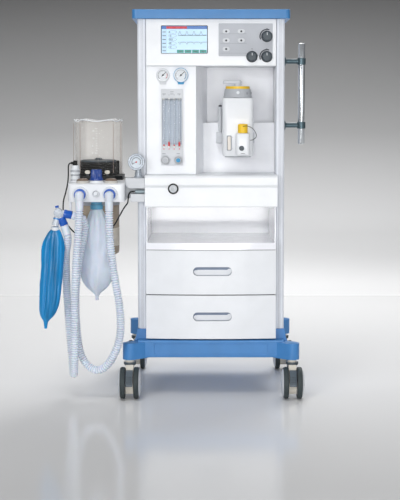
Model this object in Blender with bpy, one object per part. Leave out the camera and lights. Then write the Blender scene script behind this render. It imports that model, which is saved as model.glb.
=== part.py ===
"""Anesthesia machine on four casters, for a veterinary clinic.

Two pillars on a wheeled base carry a monitor, a flowmeter column, a vaporizer bay, a worktop, an
open shelf and two drawers. An arm at the left holds the absorber head with its bellows, canister,
breathing bag, hoses, patient Y-piece and test bag. Metres, +Z up; the front faces -Y.

Every shape is written in trolley coordinates: x = 0 on the trolley's centre plane, y = 0 at its
middle, z = 0 on the floor. One empty then moves the whole machine so that the origin is on the
floor under the middle of its outer box, measured without the hoses and what hangs on them.
"""
import math

import bmesh
import bpy
from mathutils import Matrix, Vector

GAP = 0.0003
TROLLEY_X = 0.0840
TROLLEY_Y = 0.0310

# casters and base
CASTER_X = 0.291
CASTER_Y = 0.262
TRAIL = 0.032
WHEEL_RADIUS = 0.056
WHEEL_INNER = 0.0152
WHEEL_OUTER = 0.0335
HUB_OUTER = 0.0395
AXLE_RADIUS = 0.005
FORK_HALF = 0.0132
LEG_BOTTOM = 0.136
LEG_TOP = 0.194
LEG_HALF = 0.026
DECK_X = 0.262
DECK_Y = 0.250
DECK_BOTTOM = 0.138
DECK_TOP = 0.2008
SOCKET_TOP = 0.2356

# pillars, back and top
INNER_X = 0.2340
OUTER_X = 0.2645
PILLAR_FRONT = -0.205
PILLAR_BACK = 0.205
WEB_X = 0.2565
TOP_BOTTOM = 1.353
TOP_TOP = 1.386
TOP_X = 0.2825

# drawers and shelf
FRONT_X = 0.2335
FRONT_Y = -0.238
FRONT_BOW = 0.012
DRAWER_BACK = 0.160
DRAWER_HALF = 0.2275
DRAWER_WALL = 0.004
DRAWER_LIFT = 0.010
RAIL_X = 0.2150
UPPER_FRONT = (0.3664, 0.5262)
LOWER_FRONT = (0.2055, 0.3626)
PULL_X = 0.005
PULL_HALF = 0.0695
PULL_HEIGHT = 0.032
SHELF_FLOOR = 0.540
SHELF_LIP = (0.527, 0.552)
SHELF_BACK = 0.200
WORK_BOTTOM = 0.682
SEAM = 0.753
WORK_TOP = 0.796
WORK_FRONT = -0.262

# monitor, flow column and vaporizer bay
MONITOR_BOTTOM = 1.1846
MONITOR_FRONT = -0.212
COLUMN_FRONT = -0.203
COLUMN_RIGHT = -0.052
BAY_STEP = 0.980
BAY_LOWER_Y = -0.083
BAY_UPPER_Y = -0.020
PLATE_FRONT = -0.2143
KNOBS = {"volume_knob": (0.1994, 1.290), "encoder_knob": (0.1462, 1.218), "rate_knob": (0.1990, 1.218)}
FLOW_KNOBS = {"flow_knob_nitrous": (-0.1634, 0.848, 0.0140), "flow_knob_oxygen": (-0.1177, 0.848, 0.0125)}
FLOW_BLOCK_FRONT = -0.2135
SHAFT = 0.0030
BORE = 0.0033
FLUSH = (-0.135, 0.748)
VAPORIZER = (0.0963, -0.1770)
FILLER = (0.1120, -0.2660)

# absorber head, at the machine's left
BLOCK_LEFT = -0.508
BLOCK_RIGHT = -0.3064
BLOCK_FRONT = -0.290
BLOCK_BACK = -0.010
BLOCK_BOTTOM = 0.703
BLOCK_TOP = 0.775
DOME = (-0.4117, -0.1120)
PORT_X = (-0.4630, -0.3584)
PORT_Z = 0.730
HOSE_Y = -0.3365
APL = (-0.4096, -0.2430)
VALVES = {"inspiratory_valve": -0.3562, "expiratory_valve": -0.4567}
SENSOR = (-0.4870, -0.2220)
CANISTER = (-0.4100, -0.0900)
BAG = (-0.4105, -0.2320)
ARM_LEFT = BLOCK_RIGHT + GAP
ARM_RIGHT = -0.2368

HOSE_RADIUS = 0.0145
CABLE_RADIUS = 0.0025

LEFT_HOSE = [
    (-0.4630, -0.3365, 0.7115), (-0.4630, -0.3365, 0.6915), (-0.4630, -0.3365, 0.6715),
    (-0.4640, -0.3365, 0.6450), (-0.4685, -0.3365, 0.5800), (-0.4755, -0.3365, 0.4900),
    (-0.4795, -0.3365, 0.4000), (-0.4810, -0.3365, 0.3000), (-0.4820, -0.3360, 0.2100),
    (-0.4845, -0.3290, 0.1450), (-0.4880, -0.3060, 0.1000), (-0.4935, -0.2680, 0.0840),
    (-0.4995, -0.2300, 0.1000), (-0.5060, -0.2080, 0.1450), (-0.5130, -0.2010, 0.2200),
    (-0.5190, -0.2050, 0.3200), (-0.5215, -0.2220, 0.4200), (-0.5195, -0.2500, 0.5100),
    (-0.5110, -0.2800, 0.5560), (-0.5091, -0.2900, 0.5816), (-0.5147, -0.2900, 0.6008),
    (-0.5202, -0.2900, 0.6200),
]
RIGHT_HOSE = [
    (-0.3584, -0.3365, 0.7115), (-0.3584, -0.3365, 0.6915), (-0.3584, -0.3365, 0.6715),
    (-0.3582, -0.3365, 0.6400), (-0.3545, -0.3355, 0.5550), (-0.3410, -0.3330, 0.4450),
    (-0.3255, -0.3290, 0.3500), (-0.3205, -0.3245, 0.2850), (-0.3255, -0.3190, 0.2150),
    (-0.3550, -0.3090, 0.1420), (-0.3950, -0.2990, 0.1040), (-0.4350, -0.2890, 0.1130),
    (-0.4640, -0.2830, 0.1550), (-0.4770, -0.2800, 0.2200), (-0.4825, -0.2780, 0.3000),
    (-0.4820, -0.2780, 0.3800), (-0.4770, -0.2780, 0.4400), (-0.4690, -0.2785, 0.5000),
    (-0.4590, -0.2790, 0.5550), (-0.4515, -0.2805, 0.5880), (-0.4480, -0.2830, 0.6120),
    (-0.4515, -0.2870, 0.6330), (-0.4560, -0.2900, 0.6434), (-0.4687, -0.2900, 0.6478),
    (-0.4804, -0.2900, 0.6517), (-0.4922, -0.2900, 0.6557),
]
SENSOR_CABLE = [
    (-0.4968, -0.2220, 0.8380), (-0.5010, -0.2220, 0.8380), (-0.5050, -0.2222, 0.8372),
    (-0.5085, -0.2226, 0.8350), (-0.5106, -0.2232, 0.8310), (-0.5116, -0.2240, 0.8240),
    (-0.5116, -0.2252, 0.8120), (-0.5118, -0.2275, 0.7900), (-0.5140, -0.2295, 0.7650),
    (-0.5210, -0.2300, 0.7330), (-0.5300, -0.2250, 0.7000), (-0.5310, -0.2150, 0.6600),
    (-0.5190, -0.1990, 0.6150), (-0.4900, -0.1820, 0.5800), (-0.4500, -0.1745, 0.5640),
    (-0.4100, -0.1745, 0.5640), (-0.3750, -0.1800, 0.5790), (-0.3480, -0.1900, 0.6150),
    (-0.3290, -0.2010, 0.6480), (-0.3130, -0.2130, 0.6760), (-0.3005, -0.2260, 0.6930),
    (-0.2970, -0.2330, 0.7090), (-0.2960, -0.2350, 0.7210), (-0.2920, -0.2350, 0.7310),
    (-0.2840, -0.2350, 0.7358), (-0.2728, -0.2350, 0.7360),
]
LANYARD = [
    (0.1120, -0.2890, 0.9700), (0.1260, -0.2910, 0.9720), (0.1450, -0.2900, 0.9640),
    (0.1570, -0.2860, 0.9480), (0.1590, -0.2800, 0.9330), (0.1480, -0.2740, 0.9230),
    (0.1378, -0.2700, 0.9210),
]


# ---------------------------------------------------------------- shapes

def finished(bm):
    """Turn a bmesh into a mesh with its faces pointing out."""
    bmesh.ops.recalc_face_normals(bm, faces=bm.faces)
    mesh = bpy.data.meshes.new("shape")
    bm.to_mesh(mesh)
    bm.free()
    return mesh


def box(low, high, bevel=0.0, along="XYZ", segments=2):
    """A box between two corners, with the edges along the named axes rounded."""
    bm = bmesh.new()
    bmesh.ops.create_cube(bm, size=1.0)
    middle = [(a + b) / 2 for a, b in zip(low, high)]
    size = [b - a for a, b in zip(low, high)]
    for vertex in bm.verts:
        vertex.co = Vector([m + c * s for m, c, s in zip(middle, vertex.co, size)])
    if bevel:
        chosen = []
        for edge in bm.edges:
            run = edge.verts[1].co - edge.verts[0].co
            axis = max(range(3), key=lambda k: abs(run[k]))
            if "XYZ"[axis] in along:
                chosen.append(edge)
        bmesh.ops.bevel(bm, geom=chosen, offset=bevel, segments=segments, profile=0.5, affect="EDGES")
    return finished(bm)


def loft(rings, ring_of_rings=False):
    """A skin over rings of points; the two ends are closed, unless the last ring joins the first."""
    bm = bmesh.new()
    rows = [[bm.verts.new(point) for point in ring] for ring in rings]
    pairs = list(zip(rows, rows[1:]))
    if ring_of_rings:
        pairs.append((rows[-1], rows[0]))
    for row, following in pairs:
        for i in range(len(row)):
            j = (i + 1) % len(row)
            bm.faces.new((row[i], row[j], following[j], following[i]))
    if not ring_of_rings:
        bm.faces.new(rows[0])
        bm.faces.new(rows[-1])
    return finished(bm)


def prism(outline, start, end, axis="Z"):
    """An outline pushed along an axis. The outline holds the other two coordinates, in XYZ order."""
    def point(pair, depth):
        if axis == "X":
            return (depth, pair[0], pair[1])
        if axis == "Y":
            return (pair[0], depth, pair[1])
        return (pair[0], pair[1], depth)
    return loft([[point(pair, depth) for pair in outline] for depth in (start, end)])


def rounded(outline, radius, steps=3):
    """The outline with each corner turned into an arc. A corner may carry its own radius."""
    points = []
    for i, corner in enumerate(outline):
        here = Vector(corner[:2])
        before = (Vector(outline[i - 1][:2]) - here).normalized()
        after = (Vector(outline[(i + 1) % len(outline)][:2]) - here).normalized()
        r = corner[2] if len(corner) > 2 else radius
        if r == 0:
            points.append(tuple(here))
            continue
        half = before.angle(after) / 2
        centre = here + (before + after).normalized() * (r / math.sin(half))
        first = here + before * (r / math.tan(half)) - centre
        last = here + after * (r / math.tan(half)) - centre
        turn = first.angle_signed(last)
        for step in range(steps + 1):
            spot = first.copy()
            spot.rotate(Matrix.Rotation(-turn * step / steps, 2))
            points.append(tuple(centre + spot))
    return points


def turned(profile, centre=(0.0, 0.0, 0.0), axis="Z", segments=32, hollow=False):
    """A turned solid. The profile holds (radius, height) pairs along the axis through centre."""
    rings = []
    for radius, height in profile:
        ring = []
        for i in range(segments):
            a = 2 * math.pi * i / segments
            u, v = radius * math.cos(a), radius * math.sin(a)
            local = {"X": (height, u, v), "Y": (u, height, v), "Z": (u, v, height)}[axis]
            ring.append([c + d for c, d in zip(centre, local)])
        rings.append(ring)
    return loft(rings, ring_of_rings=hollow)


def rod(start, end, radius, segments=14):
    """A round bar between any two points."""
    start, end = Vector(start), Vector(end)
    turn = (end - start).to_track_quat("Z", "Y")
    rings = []
    for middle in (start, end):
        ring = []
        for i in range(segments):
            a = 2 * math.pi * i / segments
            ring.append(middle + turn @ Vector((radius * math.cos(a), radius * math.sin(a), 0.0)))
        rings.append(ring)
    return loft(rings)


def combine(operation, base, *others):
    """One mesh: the base united with, cut by or limited to the other meshes."""
    body = bpy.data.objects.new("work", base)
    bpy.context.collection.objects.link(body)
    tools = []
    for other in others:
        tool = bpy.data.objects.new("tool", other)
        bpy.context.collection.objects.link(tool)
        modifier = body.modifiers.new("combine", "BOOLEAN")
        modifier.operation = operation
        modifier.solver = "EXACT"
        modifier.object = tool
        tools.append(tool)
    graph = bpy.context.evaluated_depsgraph_get()
    mesh = bpy.data.meshes.new_from_object(body.evaluated_get(graph))
    for item in [body, *tools]:
        bpy.data.objects.remove(item)
    return mesh


def union(base, *others):
    return combine("UNION", base, *others)


def cut(base, *others):
    return combine("DIFFERENCE", base, *others)


def octagon(centre, half, chamfer):
    """A square with its corners cut off, as an outline in x and y."""
    near = half - chamfer
    signs = [(-near, -half), (near, -half), (half, -near), (half, near),
             (near, half), (-near, half), (-half, near), (-half, -near)]
    return [(centre[0] + x, centre[1] + y) for x, y in signs]


def bowed(half_width, front, back, bow, steps=12):
    """A board seen from above, whose front edge bulges forward by the bow at its middle."""
    points = [(half_width, back), (-half_width, back)]
    for i in range(steps + 1):
        t = -1 + 2 * i / steps
        points.append((t * half_width, front - bow * (1 - t * t)))
    return points


def smooth_route(points, spacing):
    """Points about one spacing apart, along a smooth curve through the given points."""
    knots = [Vector(point) for point in points]
    dense = []
    for i in range(len(knots) - 1):
        a, b = knots[i], knots[i + 1]
        before = knots[i - 1] if i else a
        after = knots[i + 2] if i + 2 < len(knots) else b
        slope_a, slope_b = (b - before) / 2, (after - a) / 2
        for step in range(24):
            t = step / 24
            h = (2 * t**3 - 3 * t**2 + 1, t**3 - 2 * t**2 + t, 3 * t**2 - 2 * t**3, t**3 - t**2)
            dense.append(a * h[0] + slope_a * h[1] + b * h[2] + slope_b * h[3])
    dense.append(knots[-1])
    travelled = [0.0]
    for a, b in zip(dense, dense[1:]):
        travelled.append(travelled[-1] + (b - a).length)
    count = max(2, round(travelled[-1] / spacing))
    route = []
    index = 0
    for i in range(count + 1):
        goal = travelled[-1] * i / count
        while index < len(dense) - 2 and travelled[index + 1] < goal:
            index += 1
        share = (goal - travelled[index]) / (travelled[index + 1] - travelled[index])
        route.append(dense[index].lerp(dense[index + 1], share))
    return route


# ---------------------------------------------------------------- objects

WHITE = ((0.83, 0.85, 0.88), 0.35, 0.0)
BLUE = ((0.06, 0.25, 0.56), 0.35, 0.0)
SILVER = ((0.75, 0.76, 0.77), 0.25, 1.0)
GREY = ((0.46, 0.48, 0.51), 0.45, 0.0)
SLATE = ((0.10, 0.14, 0.17), 0.45, 0.0)
BLACK = ((0.02, 0.02, 0.025), 0.50, 0.0)
CREAM = ((0.78, 0.74, 0.68), 0.45, 0.0)
ROYAL = ((0.01, 0.06, 0.50), 0.40, 0.0)
YELLOW = ((0.90, 0.60, 0.03), 0.40, 0.0)
CLEAR = ((0.72, 0.68, 0.64), 0.10, 0.0)
FROST = ((0.62, 0.70, 0.84), 0.40, 0.0)

parents = {}


def paint(name, finish):
    colour, roughness, metallic = finish
    material = bpy.data.materials.new(name)
    material.use_nodes = True
    shader = material.node_tree.nodes["Principled BSDF"]
    shader.inputs["Base Color"].default_value = (*colour, 1.0)
    shader.inputs["Roughness"].default_value = roughness
    shader.inputs["Metallic"].default_value = metallic
    return material


def place(item, pivot, parent):
    """Put an object at a point in trolley coordinates, under its parent."""
    pivot = Vector(pivot)
    item.parent = parent or parents["trolley"]
    item.location = pivot - (parents[parent.name] if parent else Vector())
    parents[item.name] = pivot


def add(name, mesh, finish, pivot=(0.0, 0.0, 0.0), parent=None, at_pivot=False):
    """Add one sub-part. Its mesh is in trolley coordinates, or already about its pivot."""
    if not at_pivot:
        mesh.transform(Matrix.Translation(-Vector(pivot)))
    mesh.name = name
    mesh.shade_smooth()
    mesh.set_sharp_from_angle(angle=math.radians(32))
    mesh.materials.clear()
    mesh.materials.append(paint(name, finish))
    item = bpy.data.objects.new(name, mesh)
    bpy.context.collection.objects.link(item)
    place(item, pivot, parent)
    return item


def add_tube(name, points, radius, finish, spacing):
    """Add a hose or cable as a round tube along a smooth route."""
    curve = bpy.data.curves.new(name, "CURVE")
    curve.dimensions = "3D"
    curve.bevel_depth = radius
    curve.bevel_resolution = 2
    curve.use_fill_caps = True
    spline = curve.splines.new("POLY")
    route = smooth_route(points, spacing)
    spline.points.add(len(route) - 1)
    for knot, point in zip(spline.points, route):
        knot.co = (*point, 1.0)
    curve.materials.append(paint(name, finish))
    item = bpy.data.objects.new(name, curve)
    bpy.context.collection.objects.link(item)
    place(item, (0.0, 0.0, 0.0), None)


# ---------------------------------------------------------------- base and casters

def base_frame():
    deck = box((-DECK_X, -DECK_Y, DECK_BOTTOM), (DECK_X, DECK_Y, DECK_TOP), 0.004, "X")
    pieces = []
    for side in (-1, 1):
        curb = [(0.229, DECK_BOTTOM + 0.01), (0.229, SOCKET_TOP), (0.2665, SOCKET_TOP),
                (0.2720, 0.205), (0.2850, 0.175), (0.2850, DECK_BOTTOM + 0.01)]
        pieces.append(prism([(side * x, z) for x, z in curb], -0.209, -0.140, "Y"))
        pieces.append(prism([(side * x, z) for x, z in curb], 0.140, PILLAR_BACK, "Y"))
        curb_x = sorted((side * 0.2345, side * 0.2620))
        pieces.append(box((curb_x[0], -0.145, DECK_BOTTOM + 0.01), (curb_x[1], 0.145, SOCKET_TOP)))
        rail_x = sorted((side * RAIL_X, side * 0.2400))
        rail_top = LOWER_FRONT[0] + DRAWER_LIFT - GAP
        pieces.append(box((rail_x[0], -0.138, DECK_TOP - 0.004), (rail_x[1], 0.138, rail_top)))
        for end in (-1, 1):
            tip = Vector((side * CASTER_X, end * CASTER_Y))
            root = Vector((side * 0.195, end * 0.180))
            run = (tip - root).normalized()
            across = Vector((-run.y, run.x))
            outline = [root + across * LEG_HALF, root - across * LEG_HALF]
            start = math.atan2(-across.y, -across.x)
            for step in range(9):
                a = start + math.pi * step / 8
                outline.append(tip + LEG_HALF * Vector((math.cos(a), math.sin(a))))
            pieces.append(prism([tuple(p) for p in outline], LEG_BOTTOM, LEG_TOP))
    solid = union(deck, *pieces)
    pan = box((-0.222, -0.205, 0.120), (0.222, 0.205, 0.190))
    panel = prism(rounded([(-0.205, 0.150), (0.205, 0.150), (0.205, 0.190), (-0.205, 0.190)], 0.008),
                  -0.256, -DECK_Y + 0.003, "Y")
    add("base_frame", cut(solid, pan, panel), BLUE)


def caster_fork_mesh():
    """The swivelling body of a twin-wheel caster, about the foot of its swivel axis."""
    outline = [(0.020, 0.1180), (0.016, 0.090), (-0.006, 0.030), (-0.018, 0.018), (-0.044, 0.018),
               (-0.052, 0.030), (-0.050, 0.060), (-0.038, 0.095), (-0.022, 0.1180)]
    body = prism(outline, -FORK_HALF, FORK_HALF, "X")
    top = turned([(0.0150, 0.1100), (0.0210, 0.1160), (0.0210, 0.1260), (0.0150, 0.1275),
                  (0.0150, LEG_BOTTOM - GAP)], segments=16)
    bore = turned([(AXLE_RADIUS + 0.0006, -0.03), (AXLE_RADIUS + 0.0006, 0.03)],
                  (0.0, -TRAIL, WHEEL_RADIUS), "X", 12)
    return cut(union(body, top), bore)


def wheel_pair_mesh():
    """Two wheels on one axle, about the axle's middle, the axle along X."""
    r = WHEEL_RADIUS
    half = [(AXLE_RADIUS, WHEEL_INNER), (r - 0.004, WHEEL_INNER), (r, WHEEL_INNER + 0.004),
            (r, WHEEL_OUTER - 0.005), (r - 0.005, WHEEL_OUTER), (r - 0.012, WHEEL_OUTER + 0.001),
            (r - 0.024, HUB_OUTER - 0.002), (0.012, HUB_OUTER)]
    left = [(radius, -x) for radius, x in reversed(half)]
    return turned(left + half, axis="X", segments=24)


def brake_pedal_mesh():
    """A foot pedal between the wheels, about its hinge at the top."""
    outline = [(0.0040, 0.0040), (-0.0060, 0.0050), (-0.0120, 0.0000), (-0.0310, -0.0420),
               (-0.0300, -0.0490), (-0.0240, -0.0480), (-0.0080, -0.0110), (0.0020, -0.0040)]
    return prism(outline, -0.0125, 0.0125, "X")


def casters():
    fork_mesh = caster_fork_mesh()
    wheel_mesh = wheel_pair_mesh()
    pedal_mesh = brake_pedal_mesh()
    for end, y in (("front", -CASTER_Y), ("rear", CASTER_Y)):
        for side, x in (("left", -CASTER_X), ("right", CASTER_X)):
            name = f"{end}_{side}"
            fork = add(f"caster_fork_{name}", fork_mesh.copy(), CREAM, (x, y, 0.0), at_pivot=True)
            add(f"wheel_pair_{name}", wheel_mesh.copy(), SLATE, (x, y - TRAIL, WHEEL_RADIUS), fork, True)
            if end == "front":
                pivot = (x, y - 0.0490, 0.1000)
                add(f"brake_pedal_{side}", pedal_mesh.copy(), GREY, pivot, fork, True)


# ---------------------------------------------------------------- frame of the trolley

def pillars():
    """Each pillar is one extrusion: a grooved front post, a thin web and a rear post."""
    groove = [(0.2420, PILLAR_FRONT, 0), (0.2420, PILLAR_FRONT + 0.0015, 0),
              (0.2440, PILLAR_FRONT + 0.0015, 0), (0.2440, PILLAR_FRONT, 0)]
    outline = [(INNER_X, PILLAR_FRONT, 0.005), *groove, (OUTER_X, PILLAR_FRONT, 0.013),
               (OUTER_X, PILLAR_BACK, 0.006), (INNER_X, PILLAR_BACK, 0.002), (INNER_X, 0.165, 0),
               (WEB_X, 0.165, 0), (WEB_X, -0.145, 0), (INNER_X, -0.145, 0)]
    section = rounded(outline, 0.0, 4)
    ledges = (UPPER_FRONT[0] + DRAWER_LIFT, SHELF_FLOOR)
    for side, name in ((-1, "left_pillar"), (1, "right_pillar")):
        post = prism([(side * x, y) for x, y in section], SOCKET_TOP + GAP, TOP_BOTTOM - GAP)
        rails = []
        for top in ledges:
            x = sorted((side * RAIL_X, side * (WEB_X + 0.001)))
            rails.append(box((x[0], -0.138, top - 0.008), (x[1], 0.158, top - GAP)))
        add(name, union(post, *rails), WHITE)


def back_panel():
    front = PILLAR_BACK + GAP
    plate = box((-0.260, front, DECK_TOP + GAP), (0.260, front + 0.006, TOP_BOTTOM - GAP), 0.002, "Y")
    socket_box = box((-0.190, front + 0.003, 0.270), (-0.130, front + 0.016, 0.350), 0.003, "Y")
    socket = box((-0.1735, front + 0.006, 0.300), (-0.1465, front + 0.030, 0.320), 0.003, "Y")
    slots = []
    for level in (0.420, 1.270):
        for i in range(5):
            z = level + 0.014 * i
            slots.append(box((-0.080, front - 0.01, z), (0.080, front + 0.02, z + 0.006)))
    add("back_panel", cut(union(plate, socket_box), socket, *slots), WHITE)
    y = front + 0.006 + GAP
    block = box((0.020, y, 0.600), (0.180, y + 0.028, 0.660), 0.004, "Y")
    nipples = []
    for x in (0.055, 0.100, 0.145):
        profile = [(0.0130, y + 0.020), (0.0130, y + 0.036), (0.0080, y + 0.037), (0.0080, y + 0.048),
                   (0.0100, y + 0.049), (0.0080, y + 0.062)]
        nipples.append(turned(profile, (x, 0.0, 0.630), "Y", 12))
    add("gas_inlets", union(block, *nipples), SILVER)


def top_tray():
    tray = box((-TOP_X, -0.222, TOP_BOTTOM), (TOP_X, 0.228, TOP_TOP), 0.016, "Z", 4)
    recess = box((-TOP_X + 0.014, -0.208, TOP_TOP - 0.005), (TOP_X - 0.014, 0.214, TOP_TOP + 0.02),
                 0.010, "Z", 3)
    add("top_tray", cut(tray, recess), BLUE)


def handle_pole():
    x, y = 0.3275, -0.160
    bar = turned([(0.0115, 0.9040), (0.0125, 0.9050), (0.0125, 1.2670), (0.0115, 1.2680)],
                 (x, y, 0.0), segments=20)
    stays = []
    for z in (0.9722, 1.2027):
        profile = [(0.0170, OUTER_X + GAP), (0.0170, OUTER_X + 0.004), (0.0088, OUTER_X + 0.006),
                   (0.0088, x)]
        stays.append(turned(profile, (0.0, y, z), "X", 14))
    add("handle_pole", union(bar, *stays), SILVER)


# ---------------------------------------------------------------- drawers, shelf and worktop

def drawer(name, heights, pull_z):
    bottom, top = heights
    front = prism(bowed(FRONT_X, FRONT_Y, FRONT_Y + 0.0155, FRONT_BOW), bottom, top)
    floor = bottom + DRAWER_LIFT
    tub = box((-DRAWER_HALF, FRONT_Y + 0.010, floor), (DRAWER_HALF, DRAWER_BACK, top - 0.030))
    w = DRAWER_WALL
    inside = box((-DRAWER_HALF + w, FRONT_Y + 0.0155, floor + w),
                 (DRAWER_HALF - w, DRAWER_BACK - w, top + 0.01))
    end = PULL_HEIGHT / 2 - 0.0005
    outline = rounded([(PULL_X - PULL_HALF, pull_z - PULL_HEIGHT / 2),
                       (PULL_X + PULL_HALF, pull_z - PULL_HEIGHT / 2),
                       (PULL_X + PULL_HALF, pull_z + PULL_HEIGHT / 2),
                       (PULL_X - PULL_HALF, pull_z + PULL_HEIGHT / 2)], end, 6)
    pull = prism(outline, -0.300, FRONT_Y + 0.006, "Y")
    add(name, cut(union(front, tub), inside, pull), WHITE, (0.0, FRONT_Y, floor))


def shelf_tray():
    lip = prism(bowed(FRONT_X, FRONT_Y, FRONT_Y + 0.008, FRONT_BOW), *SHELF_LIP)
    wall, inner = 0.2320, 0.2290
    shell = box((-wall, FRONT_Y + 0.004, SHELF_FLOOR), (wall, SHELF_BACK, WORK_BOTTOM - 0.001))
    inside = box((-inner, -0.300, SHELF_FLOOR + 0.004), (inner, SHELF_BACK - 0.003, 0.700))
    lower_inside = box((-inner, FRONT_Y + 0.0075, SHELF_FLOOR + 0.004), (inner, 0.0, 0.600))
    add("shelf_tray", cut(union(cut(shell, inside), lip), lower_inside), WHITE)


def worktop():
    full = 0.2365
    nose = box((-full, WORK_FRONT, SEAM - 0.001), (full, PILLAR_FRONT - GAP, WORK_TOP), 0.010, "X", 4)
    slab = box((-FRONT_X, PILLAR_FRONT - 0.012, SEAM - 0.001), (FRONT_X, PILLAR_BACK - GAP, WORK_TOP))
    fascia = box((-full, WORK_FRONT + 0.002, WORK_BOTTOM), (full, PILLAR_FRONT - GAP, SEAM + 0.012),
                 0.003, "X")
    boss = turned([(0.0190, WORK_FRONT - 0.002), (0.0190, WORK_FRONT + 0.020)],
                  (FLUSH[0], 0.0, FLUSH[1]), "Y", 20)
    hollow = box((-0.222, WORK_FRONT + 0.014, 0.600), (0.222, 0.190, WORK_TOP - 0.006))
    seam = box((-0.300, WORK_FRONT - 0.01, SEAM - 0.0016), (FLUSH[0] - 0.0195, WORK_FRONT + 0.0035, SEAM))
    seam_right = box((FLUSH[0] + 0.0195, WORK_FRONT - 0.01, SEAM - 0.0016),
                     (0.300, WORK_FRONT + 0.0035, SEAM))
    bore = turned([(0.0128, WORK_FRONT - 0.01), (0.0128, 0.0)], (FLUSH[0], 0.0, FLUSH[1]), "Y", 20)
    solid = cut(union(slab, nose, fascia), hollow)
    add("worktop", cut(union(solid, boss), seam, seam_right, bore), WHITE)
    button = turned([(0.0110, WORK_FRONT - 0.0050), (0.0122, WORK_FRONT - 0.0040),
                     (0.0122, WORK_FRONT + 0.030)], (FLUSH[0], 0.0, FLUSH[1]), "Y", 20)
    add("flush_button", button, SILVER, (FLUSH[0], WORK_FRONT, FLUSH[1]))


# ---------------------------------------------------------------- monitor and its controls

def monitor():
    bottom, top, front = MONITOR_BOTTOM, TOP_BOTTOM - GAP, MONITOR_FRONT
    case = box((-FRONT_X, front, bottom), (FRONT_X, PILLAR_BACK, top), 0.003, "XZ")
    inside = box((-FRONT_X + 0.003, front + 0.005, bottom + 0.003), (FRONT_X - 0.003, 0.300, top - 0.003))
    window = box((-0.1790, -0.300, 1.2290), (-0.0120, -0.100, 1.3290), 0.003, "Y")
    holes = [shaft_hole(x, z) for x, z in KNOBS.values()]
    add("monitor_housing", cut(case, inside, window, *holes), WHITE)
    screen = box((-0.1790 + GAP, front + 0.0025, 1.2290 + GAP),
                 (-0.0120 - GAP, front + 0.022, 1.3290 - GAP), 0.003, "Y")
    add("display_screen", screen, SLATE)
    plate = box((0.0269, PLATE_FRONT, 1.2200), (0.2200, front - GAP, 1.3360), 0.002, "Y")
    holes = [shaft_hole(x, z) for x, z in KNOBS.values()]
    add("keypad_plate", cut(plate, *holes), GREY)
    for name, (x, z) in KNOBS.items():
        add(name, knob_mesh(x, z, PLATE_FRONT - GAP, 0.0190, 0.018), SLATE, (x, PLATE_FRONT, z))


def shaft_hole(x, z):
    return turned([(BORE, -0.300), (BORE, -0.190)], (x, 0.0, z), "Y", 16)


def knob_mesh(x, z, back, radius, depth):
    """A round control knob with a slightly tapered, finger-grooved skirt and its shaft."""
    body = [(SHAFT, back + 0.009), (SHAFT, back), (radius, back), (radius, back - 0.003),
            (radius * 0.88, back - 0.005), (radius * 0.82, back - depth + 0.002),
            (radius * 0.74, back - depth)]
    return turned(body, (x, 0.0, z), "Y", 20)


# ---------------------------------------------------------------- gas column

def gas_column():
    bottom, top = WORK_TOP + GAP, MONITOR_BOTTOM - GAP
    case = box((-FRONT_X, COLUMN_FRONT, bottom), (COLUMN_RIGHT, 0.020, top), 0.003, "Z")
    inside = box((-FRONT_X + 0.004, COLUMN_FRONT + 0.004, bottom + 0.004),
                 (COLUMN_RIGHT - 0.004, 0.100, top - 0.004))
    add("flow_column", cut(case, inside), WHITE)
    back = COLUMN_FRONT - GAP
    block = box((-0.1790, FLOW_BLOCK_FRONT, 0.829), (-0.1015, back, 1.103), 0.002, "Y")
    window = box((-0.1750, -0.300, 0.902), (-0.1055, FLOW_BLOCK_FRONT + 0.005, 1.070), 0.003, "Y")
    bores = [turned([(BORE, -0.300), (BORE, -0.150)], (x, 0.0, z), "Y", 16)
             for x, z, _ in FLOW_KNOBS.values()]
    add("flowmeter_block", cut(block, window, *bores), GREY)
    for name, (x, z, radius) in FLOW_KNOBS.items():
        finish = BLUE if name.endswith("oxygen") else GREY
        add(name, knob_mesh(x, z, FLOW_BLOCK_FRONT - GAP, radius, 0.020), finish, (x, FLOW_BLOCK_FRONT, z))
    gauges = (("gauge_nitrous", -0.1728, 0.0240, GREY), ("gauge_oxygen", -0.1080, 0.0262, BLUE))
    for name, x, radius, finish in gauges:
        z = 1.152
        profile = [(radius, back), (radius, back - 0.008), (radius - 0.002, back - 0.010),
                   (radius - 0.0045, back - 0.010), (radius - 0.0045, back - 0.007)]
        dial = turned(profile, (x, 0.0, z), "Y", 24)
        tab = prism([(x - 0.013, z - radius + 0.004), (x - 0.009, 1.119), (x + 0.009, 1.119),
                     (x + 0.013, z - radius + 0.004)], back - 0.006, back, "Y")
        add(name, union(dial, tab), finish)


# ---------------------------------------------------------------- vaporizer bay

def bay():
    bottom, top = WORK_TOP + GAP, MONITOR_BOTTOM - GAP
    left = COLUMN_RIGHT + GAP
    right = INNER_X - GAP
    upper = prism([(left, -0.196), (-0.0130, BAY_UPPER_Y), (right, BAY_UPPER_Y), (right, 0.0), (left, 0.0)],
                  BAY_STEP - 0.010, top)
    lower = prism([(left, -0.196), (-0.0268, BAY_LOWER_Y), (right, BAY_LOWER_Y), (right, 0.0), (left, 0.0)],
                  bottom, BAY_STEP)
    add("bay_panel", union(lower, upper), WHITE)
    front = BAY_LOWER_Y - GAP
    bar = box((0.0200, front - 0.024, 0.905), (0.1600, front, 0.945), 0.004, "X")
    pegs = [turned([(0.0070, 0.940), (0.0070, 1.030), (0.0055, 1.032), (0.0055, 1.045)],
                   (x, front - 0.012, 0.0), segments=20) for x in (0.0345, 0.1400)]
    add("vaporizer_manifold", union(bar, *pegs), SILVER)


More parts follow.
